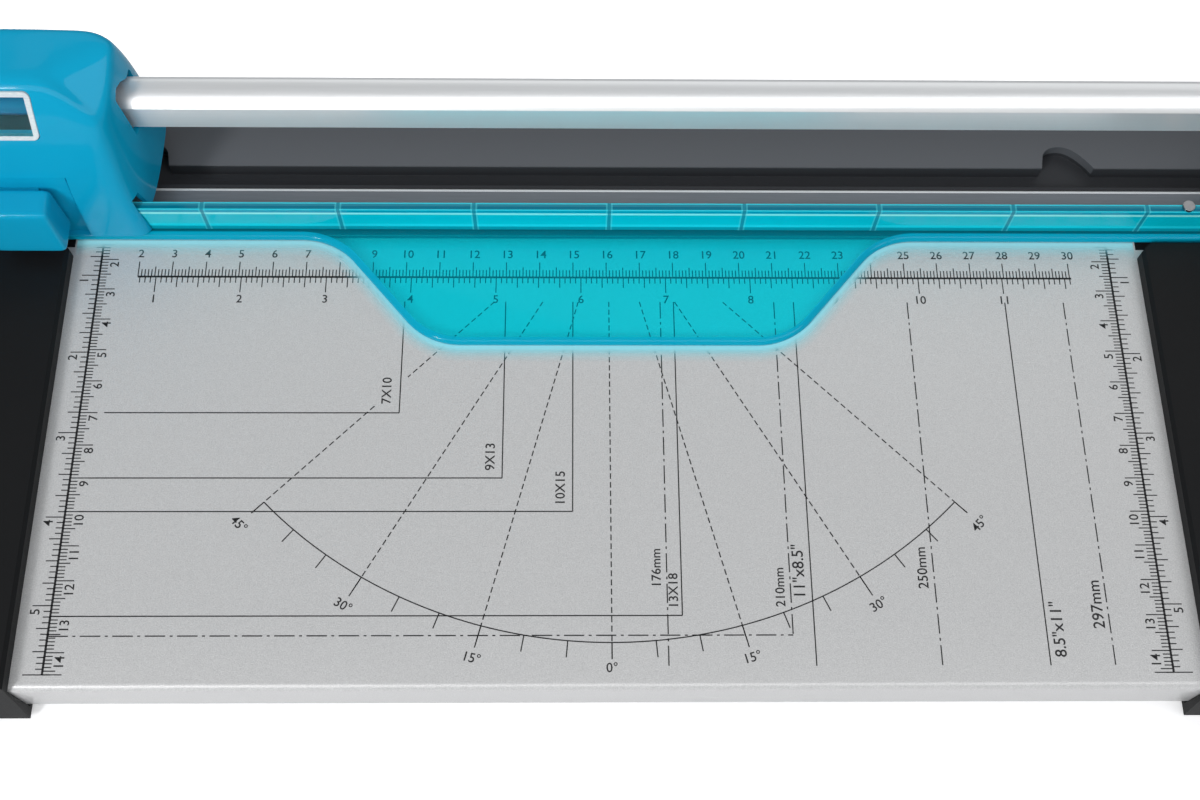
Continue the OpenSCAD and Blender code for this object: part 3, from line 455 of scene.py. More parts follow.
plain = 0.0026
labels = [(str(n), plain, n + 0.02, ahead - 0.77, 0) for n in range(2, 31)]
labels += [(str(n), plain, n * inch, ahead + 0.75, 0) for n in range(1, 12)]
number_out, one_digit, two_digits = 0.42, 0.17, 0.27
for line_x, inward in rulers:
    labels += [(str(n), plain, line_x + number_out * inward, n + (two_digits if n > 9 else one_digit), 90)
               for n in range(2, 15)]
    labels += [(str(n), plain, line_x - number_out * inward, n * inch + one_digit, 90) for n in range(1, 6)]
labels += [(text, height, x, y, 90) for text, height, x, y in (
    ("7X10", 0.0027, 9.62, 6.3), ("9X13", 0.0027, 12.66, 8.35), ("10X15", 0.0027, 14.66, 9.3),
    ("13X18", plain, 17.78, 12.3), ("176mm", plain, 17.32, 11.65), ("210mm", plain, 20.72, 12.2),
    ('11"x8.5"', 0.0032, 21.26, 11.75), ("250mm", 0.0028, 24.70, 11.65),
    ('8.5"x11"', 0.0032, 28.27, 13.4), ("297mm", 0.0032, 29.42, 12.7))]
for angle in marked_angles:
    place = radial(angle, sweep_r + (0.92 if angle else 0.7), sweep_r + 1.0)[:2]
    labels.append(("%d°" % abs(angle), plain, place[0], place[1], angle))
numerals = join("printed_numbers", list(lettering(labels)), ink)
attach(numerals, "base")


# End caps and rear tray: black mouldings with a fine spark texture. The caps carry the rail in their
# towers, and the tray closes the back with a trough and a ledge for the offcut.
black, wire = material("black_moulding")
spark = grain(wire, 0.00035, 2.0)
shade = tint(wire, grain(wire, 0.02), (0.005, 0.0052, 0.006), (0.007, 0.0073, 0.008))
surface(black, wire, gloss(wire, Base_Color=shade, Roughness=0.42 + spark * 0.16, Specular_IOR_Level=0.22,
                           Normal=bump(wire, spark, 0.00003)))
for node in ("left_end_cap", "right_end_cap"):
    soften(node, black, "base", 0.0004)
tray_black_and_painted_sheen, wire = material("tray_black_and_painted_sheen")
spark = grain(wire, 0.00035, 2.0)
# The ledge behind the trough is painted a lighter grey, a painted sheen for the light on its black face; the
# trough and the notches in the ledge keep the dark tone
trough_back, notch_floor = 0.0697, 0.0186
behind = between(wire, spot(wire, "Y"), trough_back, trough_back + 0.0005)
ledge_painted_sheen = behind * wire.maths("GREATER_THAN", spot(wire, "Z"), notch_floor)
tone = tint(wire, ledge_painted_sheen, (0.034, 0.036, 0.041), (0.105, 0.112, 0.124))
surface(tray_black_and_painted_sheen, wire, gloss(wire, Base_Color=tone, Roughness=0.45 + spark * 0.16, Specular_IOR_Level=0.3,
                               Normal=bump(wire, spark, 0.00003)))
soften("rear_tray", tray_black_and_painted_sheen, "base", 0.0003)


# Cutting strip: a smooth grey band in the tray's channel that the blade rolls on. Its back edge is
# painted near white: a painted highlight for the line of light the edge catches.
strip_paint, wire = material("strip_plastic")
streak = grain(wire, 0.0008, 2.0, stretch=(0.05, 1.0, 1.0))
band = tint(wire, streak, (0.17, 0.19, 0.215), (0.25, 0.27, 0.30))
# Painted highlight: the strip is near white behind this line
highlight_line_y = 0.0608
strip_painted_highlight = wire.maths("GREATER_THAN", spot(wire, "Y"), highlight_line_y)
surface(strip_paint, wire, gloss(wire, Base_Color=tint(wire, strip_painted_highlight, band, (0.90, 0.93, 0.95)),
                                 Metallic=0.3, Roughness=0.28 + streak * 0.12))
soften("cutting_strip", strip_paint, "base", 0.00025)


# Rail: an anodised aluminium extrusion with a crowned top, screwed into both towers. Fine lines
# from the drawing run along it.
anodised, wire = material("rail_anodised")
draw = grain(wire, 0.0005, 2.0, stretch=(0.02, 1.0, 1.0))
surface(anodised, wire, gloss(wire, Base_Color=tint(wire, draw, (0.87, 0.88, 0.89), (0.92, 0.93, 0.94)),
                              Metallic=0.6, Roughness=0.27 + draw * 0.08, Normal=bump(wire, draw, 0.000002)))
soften("guide_rail", anodised, "base", 0.0002)


# Screws and feet: plated self-tapping screws from below and in the towers' sides, shoulder screws
# at the clamp's ends, screws in the hood's back, and rubber feet.
plated, wire = material("plated_steel")
wear = grain(wire, 0.0012, 3.0)
surface(plated, wire, gloss(wire, Base_Color=tint(wire, wear, (0.30, 0.30, 0.31), (0.46, 0.46, 0.47)),
                            Metallic=1.0, Roughness=0.24 + wear * 0.18))
for node, body in (("rail_screws", "base"), ("base_screws", "base"), ("clamp_screws", "base"),
                   ("shell_screws", "carriage")):
    soften(node, plated, body, 0.00015)
rubber, wire = material("foot_rubber")
crumb = grain(wire, 0.0005, 3.0)
surface(rubber, wire, gloss(wire, Base_Color=tint(wire, crumb, (0.010, 0.010, 0.010), (0.022, 0.022, 0.022)),
                            Roughness=0.7 + crumb * 0.2, Normal=bump(wire, crumb, 0.00005)))
soften("rubber_feet", rubber, "base", 0.0003)


# Paper clamp: a clear turquoise moulding. A wall with a ledge and ribs stiffens it, and its flange
# widens to a finger tab. Springs on its end screws lift it off the sheet.
clamp_half = 204.7


def clamp_outline(steps=24):
    """Front edge of the flange from right to left, in millimetres from the middle and the cutting
    line: a straight run, a hollow arc, a full arc and the tab's straight front, then mirrored."""
    tab_half, tab_y, near, radius, swing = 43.5, 49.2, 14.2, 21.0, math.radians(50)
    low = radius * (1 - math.cos(swing))
    run = 2 * radius * math.sin(swing) + (tab_y - near - 2 * low) / math.tan(swing)
    up = np.linspace(math.pi / 2, math.pi / 2 + swing, steps)
    down = np.linspace(swing - math.pi / 2, -math.pi / 2, steps)
    hollow = np.column_stack([tab_half + run + radius * np.cos(up), -near - radius + radius * np.sin(up)])
    full = np.column_stack([tab_half + radius * np.cos(down), radius - tab_y + radius * np.sin(down)])
    side = np.vstack([[clamp_half, -near], hollow, full])
    return np.vstack([side, side[::-1] * [-1, 1]])


def offset(outline, inward):
    """A closed outline drawn in along its corners' bisectors."""
    back, on = outline - np.roll(outline, 1, axis=0), np.roll(outline, -1, axis=0) - outline
    back, on = (v / np.linalg.norm(v, axis=1)[:, None] for v in (back, on))
    normal = np.column_stack([back[:, 1] + on[:, 1], -back[:, 0] - on[:, 0]])
    normal /= np.linalg.norm(normal, axis=1)[:, None]
    slant = np.maximum(normal[:, 0] * back[:, 1] - normal[:, 1] * back[:, 0], 0.3)
    return outline + normal * (inward / slant)[:, None]


def outward(name, points, polygons):
    """A solid from points and faces, with its faces turned outwards."""
    mesh = bpy.data.meshes.new(name)
    mesh.from_pydata(points.tolist(), [], polygons)
    form = bmesh.new()
    form.from_mesh(mesh)
    bmesh.ops.recalc_face_normals(form, faces=form.faces)
    form.to_mesh(mesh)
    form.free()
    return stand(name, mesh)


def stacked(name, rings):
    """A solid from like outlines at rising heights: quads between them and a flat face at each end."""
    rows, columns = rings.shape[:2]
    here = np.arange(rows * columns).reshape(rows, columns)
    beside = np.roll(here, -1, axis=1)
    walls = np.stack([here[:-1], beside[:-1], beside[1:], here[1:]], axis=-1).reshape(-1, 4).tolist()
    return outward(name, rings.reshape(-1, 3), walls + [here[0][::-1].tolist(), here[-1].tolist()])


def rounded(corners, radii, steps=8):
    """A flat outline with its corners turned into arcs. Each arc's centre is on its corner's
    bisector, and its points are turned from one touching point to the other."""
    corners, radii = np.asarray(corners, float), np.asarray(radii, float)
    back, on = np.roll(corners, 1, axis=0) - corners, np.roll(corners, -1, axis=0) - corners
    back /= np.linalg.norm(back, axis=1)[:, None]
    on /= np.linalg.norm(on, axis=1)[:, None]
    middle = (back + on) / np.linalg.norm(back + on, axis=1)[:, None]
    half = np.arccos(np.sum(back * middle, axis=1))
    centre = corners + middle * (radii / np.sin(half))[:, None]
    first = corners + back * (radii / np.tan(half))[:, None] - centre
    last = corners + on * (radii / np.tan(half))[:, None] - centre
    turn = (math.pi - 2 * half)[:, None, None]
    share = np.linspace(0, 1, steps + 1)[None, :, None]
    arcs = (first[:, None] * np.sin((1 - share) * turn) + last[:, None] * np.sin(share * turn)) / np.sin(turn)
    arcs = (centre[:, None] + arcs).reshape(-1, 2)
    return arcs[np.linalg.norm(arcs - np.roll(arcs, 1, axis=0), axis=1) > 1e-7]


def prism(name, outline, low, high, axis=0):
    """A solid with the same outline from low to high along one axis; the outline's two numbers are
    the other two axes in order."""
    outline = np.asarray(outline, float)
    count = len(outline)
    ends = np.insert(np.vstack([outline, outline]), axis, np.repeat([low, high], count), axis=1)
    here = np.arange(count)
    beside = np.roll(here, -1)
    sides = np.stack([here, beside, beside + count, here + count], axis=-1).tolist()
    return outward(name, ends, sides + [here[::-1].tolist(), (here + count).tolist()])


def move(piece, matrix):
    """Puts a turn or shift into the piece's mesh."""
    piece.data.transform(matrix)
    return piece


def carve(piece, *steps):
    """Runs Boolean steps on a piece, each an operation and a solid, and removes the solids."""
    for operation, solid in steps:
        cut = piece.modifiers.new("cut", "BOOLEAN")
        cut.operation, cut.object, cut.solver = operation, solid, "MANIFOLD"
    made = bpy.data.meshes.new_from_object(piece.evaluated_get(bpy.context.evaluated_depsgraph_get()))
    piece.modifiers.clear()
    piece.data = made
    for _, solid in steps:
        bpy.data.objects.remove(solid)
    return piece


def crisp(piece, angle=30.0):
    """Smooth shading with a hard line wherever two faces meet at more than angle."""
    form = bmesh.new()
    form.from_mesh(piece.data)
    bmesh.ops.remove_doubles(form, verts=form.verts, dist=same_corner)
    shade_smooth(form, math.radians(angle))
    form.to_mesh(piece.data)
    form.free()
    weigh = piece.modifiers.new("normals", "WEIGHTED_NORMAL")
    weigh.keep_sharp = True
    weigh.weight = 80
    return piece


def at_clamp(piece):
    """Millimetres from the cutting line and the table's top into world metres."""
    return move(piece, Matrix.Translation((0, cut_line, table_top)) @ Matrix.Scale(0.001, 4))


front_edge = clamp_outline()
plan = np.vstack([front_edge, [[-clamp_half, -10.0], [clamp_half, -10.0]]])
# The rim's inset and height, from the underside up and over its rounded edge
rim_steps = ((2.1, 1.5), (0.35, 1.5), (0.08, 1.65), (0.0, 2.0), (0.06, 2.4), (0.3, 2.85), (0.75, 3.2),
             (1.4, 3.42), (2.1, 3.5))
next_x, next_y = np.roll(plan, -1, axis=0).T
side_of = 1.0 if np.sum(plan[:, 0] * next_y - plan[:, 1] * next_x) > 0 else -1.0
rings = np.stack([np.column_stack([offset(plan, -side_of * inset), np.full(len(plan), height)])
                  for inset, height in rim_steps])
flange = at_clamp(stacked("paper_clamp", rings))
section = rounded([(-11.5, 1.6), (-11.5, 15), (-8.8, 15), (-8.8, 13.5), (-10, 13.5), (-10, 1.6)],
                  [0, 0.35, 0.3, 0.2, 0.4, 0], 5)
parts = [("UNION", at_clamp(prism("wall", section, -clamp_half, clamp_half)))]
rib_gap, rib_half = 40.0, 0.5
rib_side = [(-10.6, 1.7), (-10.6, 14.4), (-8.9, 14.4), (-8.9, 1.7)]
for place in np.arange(-5, 6) * rib_gap:
    parts.append(("UNION", at_clamp(prism("rib", rib_side, place - rib_half, place + rib_half))))
screw_turns = np.linspace(0, 2 * math.pi, 48, endpoint=False)
screw_ring = np.column_stack([np.cos(screw_turns), np.sin(screw_turns)])
post_x, post_y, boss_r, bore_r = 172.27, 9.75, 1.75, 1.06
for side in (-1, 1):
    post = Matrix.Translation((side * post_x, -post_y, 0))
    parts.append(("UNION", at_clamp(move(prism("boss", screw_ring * boss_r, 1.5, 15.0, axis=2), post))))
    parts.append(("DIFFERENCE", at_clamp(move(prism("bore", screw_ring * bore_r, 0.0, 17.0, axis=2), post))))
clamp_piece = crisp(carve(flange, *parts), 35.0)
# Each point's nearness to the flange's front edge, for the rim's painted shade
points = np.empty(len(clamp_piece.data.vertices) * 3)
clamp_piece.data.vertices.foreach_get("co", points)
points = points.reshape(-1, 3)
flat = np.column_stack([points[:, 0], points[:, 1] - cut_line]) * 1000
start, span = front_edge[:-1], np.diff(front_edge, axis=0)
share = np.clip(np.einsum("nkd,kd->nk", flat[:, None] - start, span) / np.sum(span ** 2, axis=1), 0, 1)
away = np.linalg.norm(flat[:, None] - start - share[..., None] * span, axis=2).min(axis=1)
flange_high = 0.0036
rim = np.clip(1 - away / rim_steps[-1][0], 0, 1) * (points[:, 2] < table_top + flange_high)
clamp_piece.data.attributes.new("rim", "FLOAT", "POINT").data.foreach_set("value", rim.astype(np.float32))


def open_way(wire, colour):
    """Lets light straight through, tinted by a colour."""
    return wire.node("ShaderNodeBsdfTransparent", inputs={"Color": (*colour, 1.0)})


def polish(wire, colour, rough):
    """A clear film's reflection."""
    return wire.node("ShaderNodeBsdfGlossy", inputs={"Color": (*colour, 1.0), "Roughness": rough})


# Painted light: over the turquoise, the wall, the ledge and the flange carry painted bands of highlight
# and shade for light bent and reflected in the clear plastic. The bands follow the height over the table
# on the wall, and the way ahead of the cut on the ledge and the flange, each as a share of one of these
tint_high, tint_reach = 0.0155, 0.020
turquoise, wire = material("clear_turquoise")
height = (spot(wire, "Z") - table_top) * (1 / tint_high)
ahead_of = (cut_line - spot(wire, "Y")) * (1 / tint_reach)
wall_tone_and_painted_light = wire.node("ShaderNodeValToRGB", {"stops": [
    (0.0, (0.0, 0.15, 0.21)), (0.235, (0.0, 0.15, 0.21)), (0.26, (0.0, 0.38, 0.50)),
    (0.35, (0.0, 0.40, 0.52)), (0.37, (0.010, 0.78, 0.94)), (0.44, (0.010, 0.76, 0.92)),
    (0.47, (0.0, 0.60, 0.74)), (0.79, (0.0, 0.58, 0.74)), (0.81, (0.30, 1.0, 1.0)),
    (0.855, (0.30, 1.0, 1.0)), (0.87, (0.0, 0.42, 0.60)), (0.93, (0.0, 0.38, 0.56))]}, {0: height})
top_tone_and_painted_light = wire.node("ShaderNodeValToRGB", {"stops": [
    (0.0, (0.05, 0.72, 0.85)), (0.462, (0.05, 0.70, 0.84)), (0.476, (0.02, 0.24, 0.34)),
    (0.50, (0.02, 0.26, 0.36)), (0.515, (0.0, 0.17, 0.27)), (0.555, (0.0, 0.18, 0.28)),
    (0.562, (0.02, 0.60, 0.74)), (1.0, (0.02, 0.60, 0.74))]}, {0: ahead_of})
flange_tone_and_painted_shade = wire.node("ShaderNodeValToRGB", {"stops": [
    (0.0, (0.0, 0.14, 0.19)), (0.575, (0.0, 0.14, 0.19)), (0.66, (0.0, 0.17, 0.23)), (0.69, (0.0, 0.90, 1.0)),
    (1.0, (0.0, 0.90, 1.0))]}, {0: ahead_of})
edge = wire.node("ShaderNodeAttribute", {"attribute_name": "rim"}, output="Fac")
# Painted shade and highlight: a dark and a light line at each rib, for the ribs seen through the wall
from_rib = wire.maths("PINGPONG", spot(wire, "X") + 0.4, rib_gap / 2000)
rib_painted_shade = wire.maths("LESS_THAN", from_rib, 0.0005)
rib_painted_highlight = wire.maths("LESS_THAN", from_rib, 0.0010)
is_top = wire.maths("GREATER_THAN", height, 0.95)
is_flange = wire.maths("LESS_THAN", height, 0.236)
rim_painted_shade = between(wire, edge, 0.02, 0.14)
tone = tint(wire, is_flange, tint(wire, is_top, wall_tone_and_painted_light, top_tone_and_painted_light), flange_tone_and_painted_shade)
tone = tint(wire, rib_painted_highlight * 0.35 * (1 - is_flange), tone, (0.10, 0.75, 0.85))
tone = tint(wire, rib_painted_shade * 0.75 * (1 - is_flange), tone, (0.0, 0.20, 0.30))
# Painted shade: the flange's rounded rim is a deeper, more solid turquoise
tone = tint(wire, rim_painted_shade, tone, (0.0, 0.42, 0.62))
# Painted shade: the flange is dark and nearly solid at its root by the wall, and clears ahead of it
root_painted_shade = between(wire, ahead_of, 0.65, 0.69, 0.80, 0.055)
solid = 0.88 * (1 - is_flange) + is_flange * wire.maths("MAXIMUM", root_painted_shade, rim_painted_shade * 0.72)
body = gloss(wire, Base_Color=tone, Roughness=0.06 + grain(wire, 0.003) * 0.04, Specular_IOR_Level=0.12)
# Painted light: the clear plastic glows faintly blue though it is no lamp
clamp_painted_glow = wire.node("ShaderNodeAddShader", inputs={0: open_way(wire, (0.33, 0.985, 1.0)),
                                                   1: glow(wire, (0.0, 0.55, 1.0), 0.04)})
facing = wire.node("ShaderNodeFresnel", inputs={"IOR": 1.17})
clear_body = either(wire, solid, clamp_painted_glow, body)
surface(turquoise, wire, either(wire, facing, clear_body, polish(wire, (0.8, 0.9, 0.92), 0.04)))
clamp_piece.data.materials.clear()
clamp_piece.data.materials.append(turquoise)
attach(clamp_piece, "clamp")
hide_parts("clamp_bar")

# Painted light: a pale cyan band on the paint beside the clear edge, glowing faintly, for the light the edge
# gathers and throws; it fades over 3 mm
reach_out = np.array([-1.2, -0.5, 0.2, 0.9, 1.8, 3.0, 4.6])
fade = np.array([0.0, 1.0, 0.95, 0.68, 0.36, 0.14, 0.0])
band_end, band_lift = 160.2, 0.00005
band = np.stack([offset(plan, side_of * out)[:len(front_edge)] for out in reach_out])
band[:, 0, 0], band[:, -1, 0] = band_end, -band_end
rows, columns = band.shape[:2]
here = np.arange(rows * columns).reshape(rows, columns)
quads = np.stack([here[:-1, :-1], here[:-1, 1:], here[1:, 1:], here[1:, :-1]], axis=-1).reshape(-1, 4)
corners = np.column_stack([band.reshape(-1, 2) / 1000, np.full(rows * columns, band_lift)])
mesh = bpy.data.meshes.new("painted_edge_glow")
mesh.from_pydata((corners + [0, cut_line, table_top]).tolist(), [], quads.tolist())
shares = np.repeat(fade, columns).astype(np.float32)
mesh.attributes.new("fade", "FLOAT", "POINT").data.foreach_set("value", shares)
painted_edge_glow = stand("painted_edge_glow", mesh)
edge_band_finish, wire = material("painted_edge_band")
strength = wire.node("ShaderNodeAttribute", {"attribute_name": "fade"}, output="Fac")
painted_light_film = gloss(wire, Base_Color=tint(wire, grain(wire, 0.001), (0.38, 0.82, 0.90), (0.46, 0.88, 0.95)),
                  Roughness=0.4, Emission_Color=(0.15, 0.70, 0.80, 1.0), Emission_Strength=0.15)
surface(edge_band_finish, wire, either(wire, strength * 0.85, open_way(wire, (1.0, 1.0, 1.0)), painted_light_film))
mesh.materials.append(edge_band_finish)
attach(painted_edge_glow, "base")


# Cutter head: a glossy teal hood moulded in one piece, open below. Its faces meet with soft edges,
# and on each side a scooped flank runs into the crown by a shallow valley.
head_x, head_wide, head_high, head_ahead, head_behind = -0.1694, 0.069, 0.060, 0.0145, 0.027
head_wall, rim_z = 0.0016, 0.0042
core = np.array([0.0, 0.222 * head_behind, 0.367 * head_high])


def faces(rows):
    """Unit directions of a group of flat faces, and their distances from the core. A row holds a
    direction and one point of the face, in shares of the half width, the reach and the height."""
    rows = np.array(rows)
    away = rows[:, :3] / np.linalg.norm(rows[:, :3], axis=1)[:, None]
    deep = np.where(rows[:, 4] < 0, head_ahead, head_behind)
    size = np.column_stack([np.full(len(rows), head_wide / 2), deep, np.full(len(rows), head_high)])
    return away, np.sum((rows[:, 3:] * size - core) * away, axis=1)


def pull(group, sharp, ways, inset=0.0):
    """How hard a group of faces holds the form back in each direction: the power mean of each face's
    slope towards the direction over its distance, so that the faces meet with soft edges."""
    away, far = group
    each = np.maximum(ways @ away.T, 0.02) * head_high / (far - inset)
    return np.sum(each ** sharp, axis=-1) ** (1 / sharp)


side_faces = faces([(1, 0, 0.03, 1.000, 0, 0.167), (0.95, -0.3, 0.12, 0.916, 0, 0.808),
                    (0.7, -0.7, 0.28, 0.855, -0.359, 0.783), (0, -1, 0.06, 0, -1.000, 0.070),
                    (0, -1, 0.32, 0, -0.752, 0.550)])
rear_faces = faces([(0, 1, 0.02, 0, 0.992, 0.167), (0, 1, 0.25, 0, 0.856, 0.750),
                    (0.557, 0.9, 0.36, 0.968, 0.585, 0.968), (0.85, 0.53, 0.08, 0.986, 0.852, 0.200)])
crown_faces = faces([(0, -1, 0.44, 0, -0.441, 0.767), (0, -1, 0.75, 0, -0.076, 0.950),
                     (0, 0, 1, 0, 0.370, 0.990), (0.6, -0.05, 0.77, 0.727, -0.110, 0.870)])
flank_faces = faces([(0, -1, 0.44, 0, -0.338, 0.767), (0, -1, 0.75, 0, 0.033, 0.950),
                     (0.42, -0.644, 1, 0.968, 0.204, 0.877), (0.03, -0.04, 1, 0.696, 0.741, 0.986)])


valley_sharp, ridge_sharp = 120, 44


def hood_reach(ways, inset):
    """Distance from the core to the hood in each direction. The crown and the flanks are joined by a
    negative power, so the higher one shows, and the sides and rear cut them both."""
    ways = np.concatenate([np.abs(ways[..., :1]), ways[..., 1:]], axis=-1)
    crown, flanks = pull(crown_faces, 26, ways, inset), pull(flank_faces, 40, ways, inset)
    top = (crown ** -valley_sharp + flanks ** -valley_sharp) ** (-1 / valley_sharp)
    sides, rear = pull(side_faces, 18, ways, inset), pull(rear_faces, 36, ways, inset)
    return head_high / (sides ** ridge_sharp + rear ** ridge_sharp + top ** ridge_sharp) ** (1 / ridge_sharp)


def rays(turn, lift):
    """Unit directions by turn about the upright and lift above the level."""
    flat = np.cos(lift)
    return np.stack([np.cos(turn) * flat, np.sin(turn) * flat, np.sin(lift) + 0 * turn], axis=-1)


def closed_form(name, rings, pole):
    """A solid from rings of points, lowest first: quads between the rings, a flat foot below the
    first and a fan from the last to the pole."""
    rows, columns = rings.shape[:2]
    here = np.arange(rows * columns).reshape(rows, columns)
    beside = np.roll(here, -1, axis=1)
    walls = np.stack([here[:-1], beside[:-1], beside[1:], here[1:]], axis=-1).reshape(-1, 4)
    fan = np.stack([here[-1], beside[-1], np.full(columns, rows * columns)], axis=-1)
    mesh = bpy.data.meshes.new(name)
    mesh.from_pydata(np.vstack([rings.reshape(-1, 3), pole]).tolist(), [],
                     walls.tolist() + fan.tolist() + [here[0][::-1].tolist()])
    return stand(name, mesh)


def to_head(points):
    """Points of the head, from its middle, the cutting line and the table's top, in world metres."""
    return np.asarray(points) + np.array([head_x, cut_line, table_top])


def hood_form(name, inset, drop, columns, rows):
    """The hood drawn in by inset. The rim's lift is found by turns, and the rings lie at even lifts
    between the rim and the pole; drop lengthens the form straight down."""
    turn = np.linspace(0, 2 * math.pi, columns, endpoint=False)
    low = np.zeros(columns)
    for _ in range(6):
        low = np.arctan((rim_z - core[2]) / (hood_reach(rays(turn, low), inset) * np.cos(low)))
    lift = low + (math.pi / 2 - low) * np.linspace(0, 1, rows, endpoint=False)[:, None]
    ways = rays(turn, lift)
    rings = core + hood_reach(ways, inset)[..., None] * ways
    rings[0, :, 2] = rim_z
    if drop:
        rings = np.concatenate([rings[:1] - np.array([0, 0, drop]), rings])
    pole = core + np.array([0, 0, float(hood_reach(np.array([[0.0, 0.0, 1.0]]), inset)[0])])
    return closed_form(name, to_head(rings), to_head(pole[None]))


def head_prism(name, outline, half, middle=0.0):
    """A prism across the head, half wide to either side of middle, from its side view. All are in
    millimetres."""
    return move(prism(name, np.asarray(outline) / 1000, (middle - half) / 1000, (middle + half) / 1000),
                Matrix.Translation((head_x, cut_line, table_top)))


teal, wire = material("teal_gloss")
peel = grain(wire, 0.006, 1.0)
shade = tint(wire, grain(wire, 0.03), (0.003, 0.34, 0.57), (0.004, 0.37, 0.61))
surface(teal, wire, gloss(wire, Base_Color=shade, Roughness=0.07 + peel * 0.03, Specular_IOR_Level=0.16,
                          Normal=bump(wire, peel, 0.00002)))

# Side views in millimetres. The pocket and its walls stop at the hood's own face in front.
beyond, through = -29, 36
walls_side = [(beyond, 0), (-12, 0), (-12, 19.4), (-10.1, 31.5), (-10.1, 33.1), (beyond, 33.1)]
pocket_side = [(beyond, 5.1), (-12.9, 5.1), (-12.9, 19.4), (-11, 31.5), (beyond, 31.5)]
seam_side = [(beyond, 5.1), (-12.3, 5.1), (-12.3, 19.4), (-10.5, 31.5), (beyond, 31.5)]
stem_side = [(beyond, 19.4), (0, 19.4), (0, 27.1), (beyond, 27.1)]
passage_side = [(-11.9, 0), (-11.9, 14), (-11.4, 19.4), (-8.3, 19.4), (-7.1, 9.5), (54, 9.5), (54, 0)]
rail_side = rounded([(3.9, 30.5), (3.9, 47.6), (6.6, 49.6), (9.4, 48.6), (13.0, 45.4), (16.8, 45.2),
                     (16.8, 30.5)], [0, 1.6, 1.3, 2.0, 1.0, 1.3, 0])
walls_half, pocket_half, stem_half, seam_half = 16.3, 14.7, 6.15, 0.18

hood = hood_form("hood", 0.0, 0.0, 360, 110)
pocket_block = hood_form("pocket_block", 0.0, 0.0, 180, 60)
carve(pocket_block, ("INTERSECT", head_prism("block", walls_side, walls_half)))
window_lean = 26.4
window_middle = Vector((head_x, cut_line - 0.0035, table_top + 0.0508))
window_way = Matrix.Translation(window_middle) @ Matrix.Rotation(math.radians(90 - window_lean), 4, "X")
window_x, window_y = 0.0115, 0.0075
opening = rounded([(-window_x, -window_y), (window_x, -window_y), (window_x, window_y),
                   (-window_x, window_y)], [0.002] * 4)
cuts = [("DIFFERENCE", hood_form("cavity", head_wall, rim_z, 180, 60)),
        ("UNION", pocket_block),
        ("DIFFERENCE", head_prism("pocket", pocket_side, pocket_half)),
        ("DIFFERENCE", head_prism("stem_slot", stem_side, stem_half)),
        ("DIFFERENCE", head_prism("passage", passage_side, through)),
        ("DIFFERENCE", head_prism("rail_hole", rail_side, through)),
        ("DIFFERENCE", move(prism("window_hole", opening * 1.012, -0.005, 0.005, axis=2), window_way))]
for side in (-1, 1):
    cuts.append(("DIFFERENCE", head_prism("seam", seam_side, seam_half, side * pocket_half)))
    screw_place = Matrix.Translation((head_x + side * 0.016, cut_line, table_top + 0.020))
    for radius, near in ((0.0015, 0.0232), (0.0029, 0.0252)):
        screw_hole = move(prism("screw_hole", screw_ring * radius, near, 0.04, axis=1), screw_place)
        cuts.append(("DIFFERENCE", screw_hole))
crisp(carve(hood, *cuts))
hood.data.materials.clear()
hood.data.materials.append(teal)
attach(hood, "carriage")
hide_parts("head_shell")


# Finger button: a solid teal block with soft edges on a flat stem, pressed by the finger to bring
# the blade down. It is moulded in the hood's plastic.
def soft_block(name, rows, middle, sharp, columns, bands):
    """A closed block with soft edges: in every direction from the middle, the power mean of its
    faces' pulls sets the reach. A row is a face's direction and one point on it, in millimetres."""
    rows = np.array(rows, float)
    away = rows[:, :3] / np.linalg.norm(rows[:, :3], axis=1)[:, None]
    far = np.sum((rows[:, 3:] - middle) * away, axis=1)
    turn = np.linspace(0, 2 * math.pi, columns, endpoint=False)
    lift = np.linspace(-math.pi / 2, math.pi / 2, bands + 2)[1:-1, None]

    def reach(ways):
        each = np.maximum(ways @ away.T, 0) / far
        return (each ** sharp).sum(axis=-1) ** (-1 / sharp)
    ways = rays(turn, lift)
    rings = middle + reach(ways)[..., None] * ways
    pole = middle + np.array([0, 0, reach(np.array([0, 0, 1.0]))])
    return closed_form(name, to_head(rings / 1000), to_head(pole[None] / 1000))


button_faces = [(1, 0, 0.05, 10.8, 0, 10), (-1, 0, 0.05, -10.8, 0, 10), (0, -1, 0.07, 0, -23.3, 10),
                (0, 1, 0, 0, -13.05, 20), (0, -0.06, 1, 0, -18, 28.6), (0, 0, -1, 0, -18, 10)]
button = soft_block("finger_button", button_faces, np.array([0, -17.6, 19.0]), 12, 200, 100)
stem = head_prism("stem", [(-14.8, 22.55), (-6.6, 22.55), (-6.6, 26.95), (-14.8, 26.95)], 6)
crisp(carve(button, ("UNION", stem)))
button.data.materials.clear()
button.data.materials.append(teal)
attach(button, "press")
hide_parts("press_button")

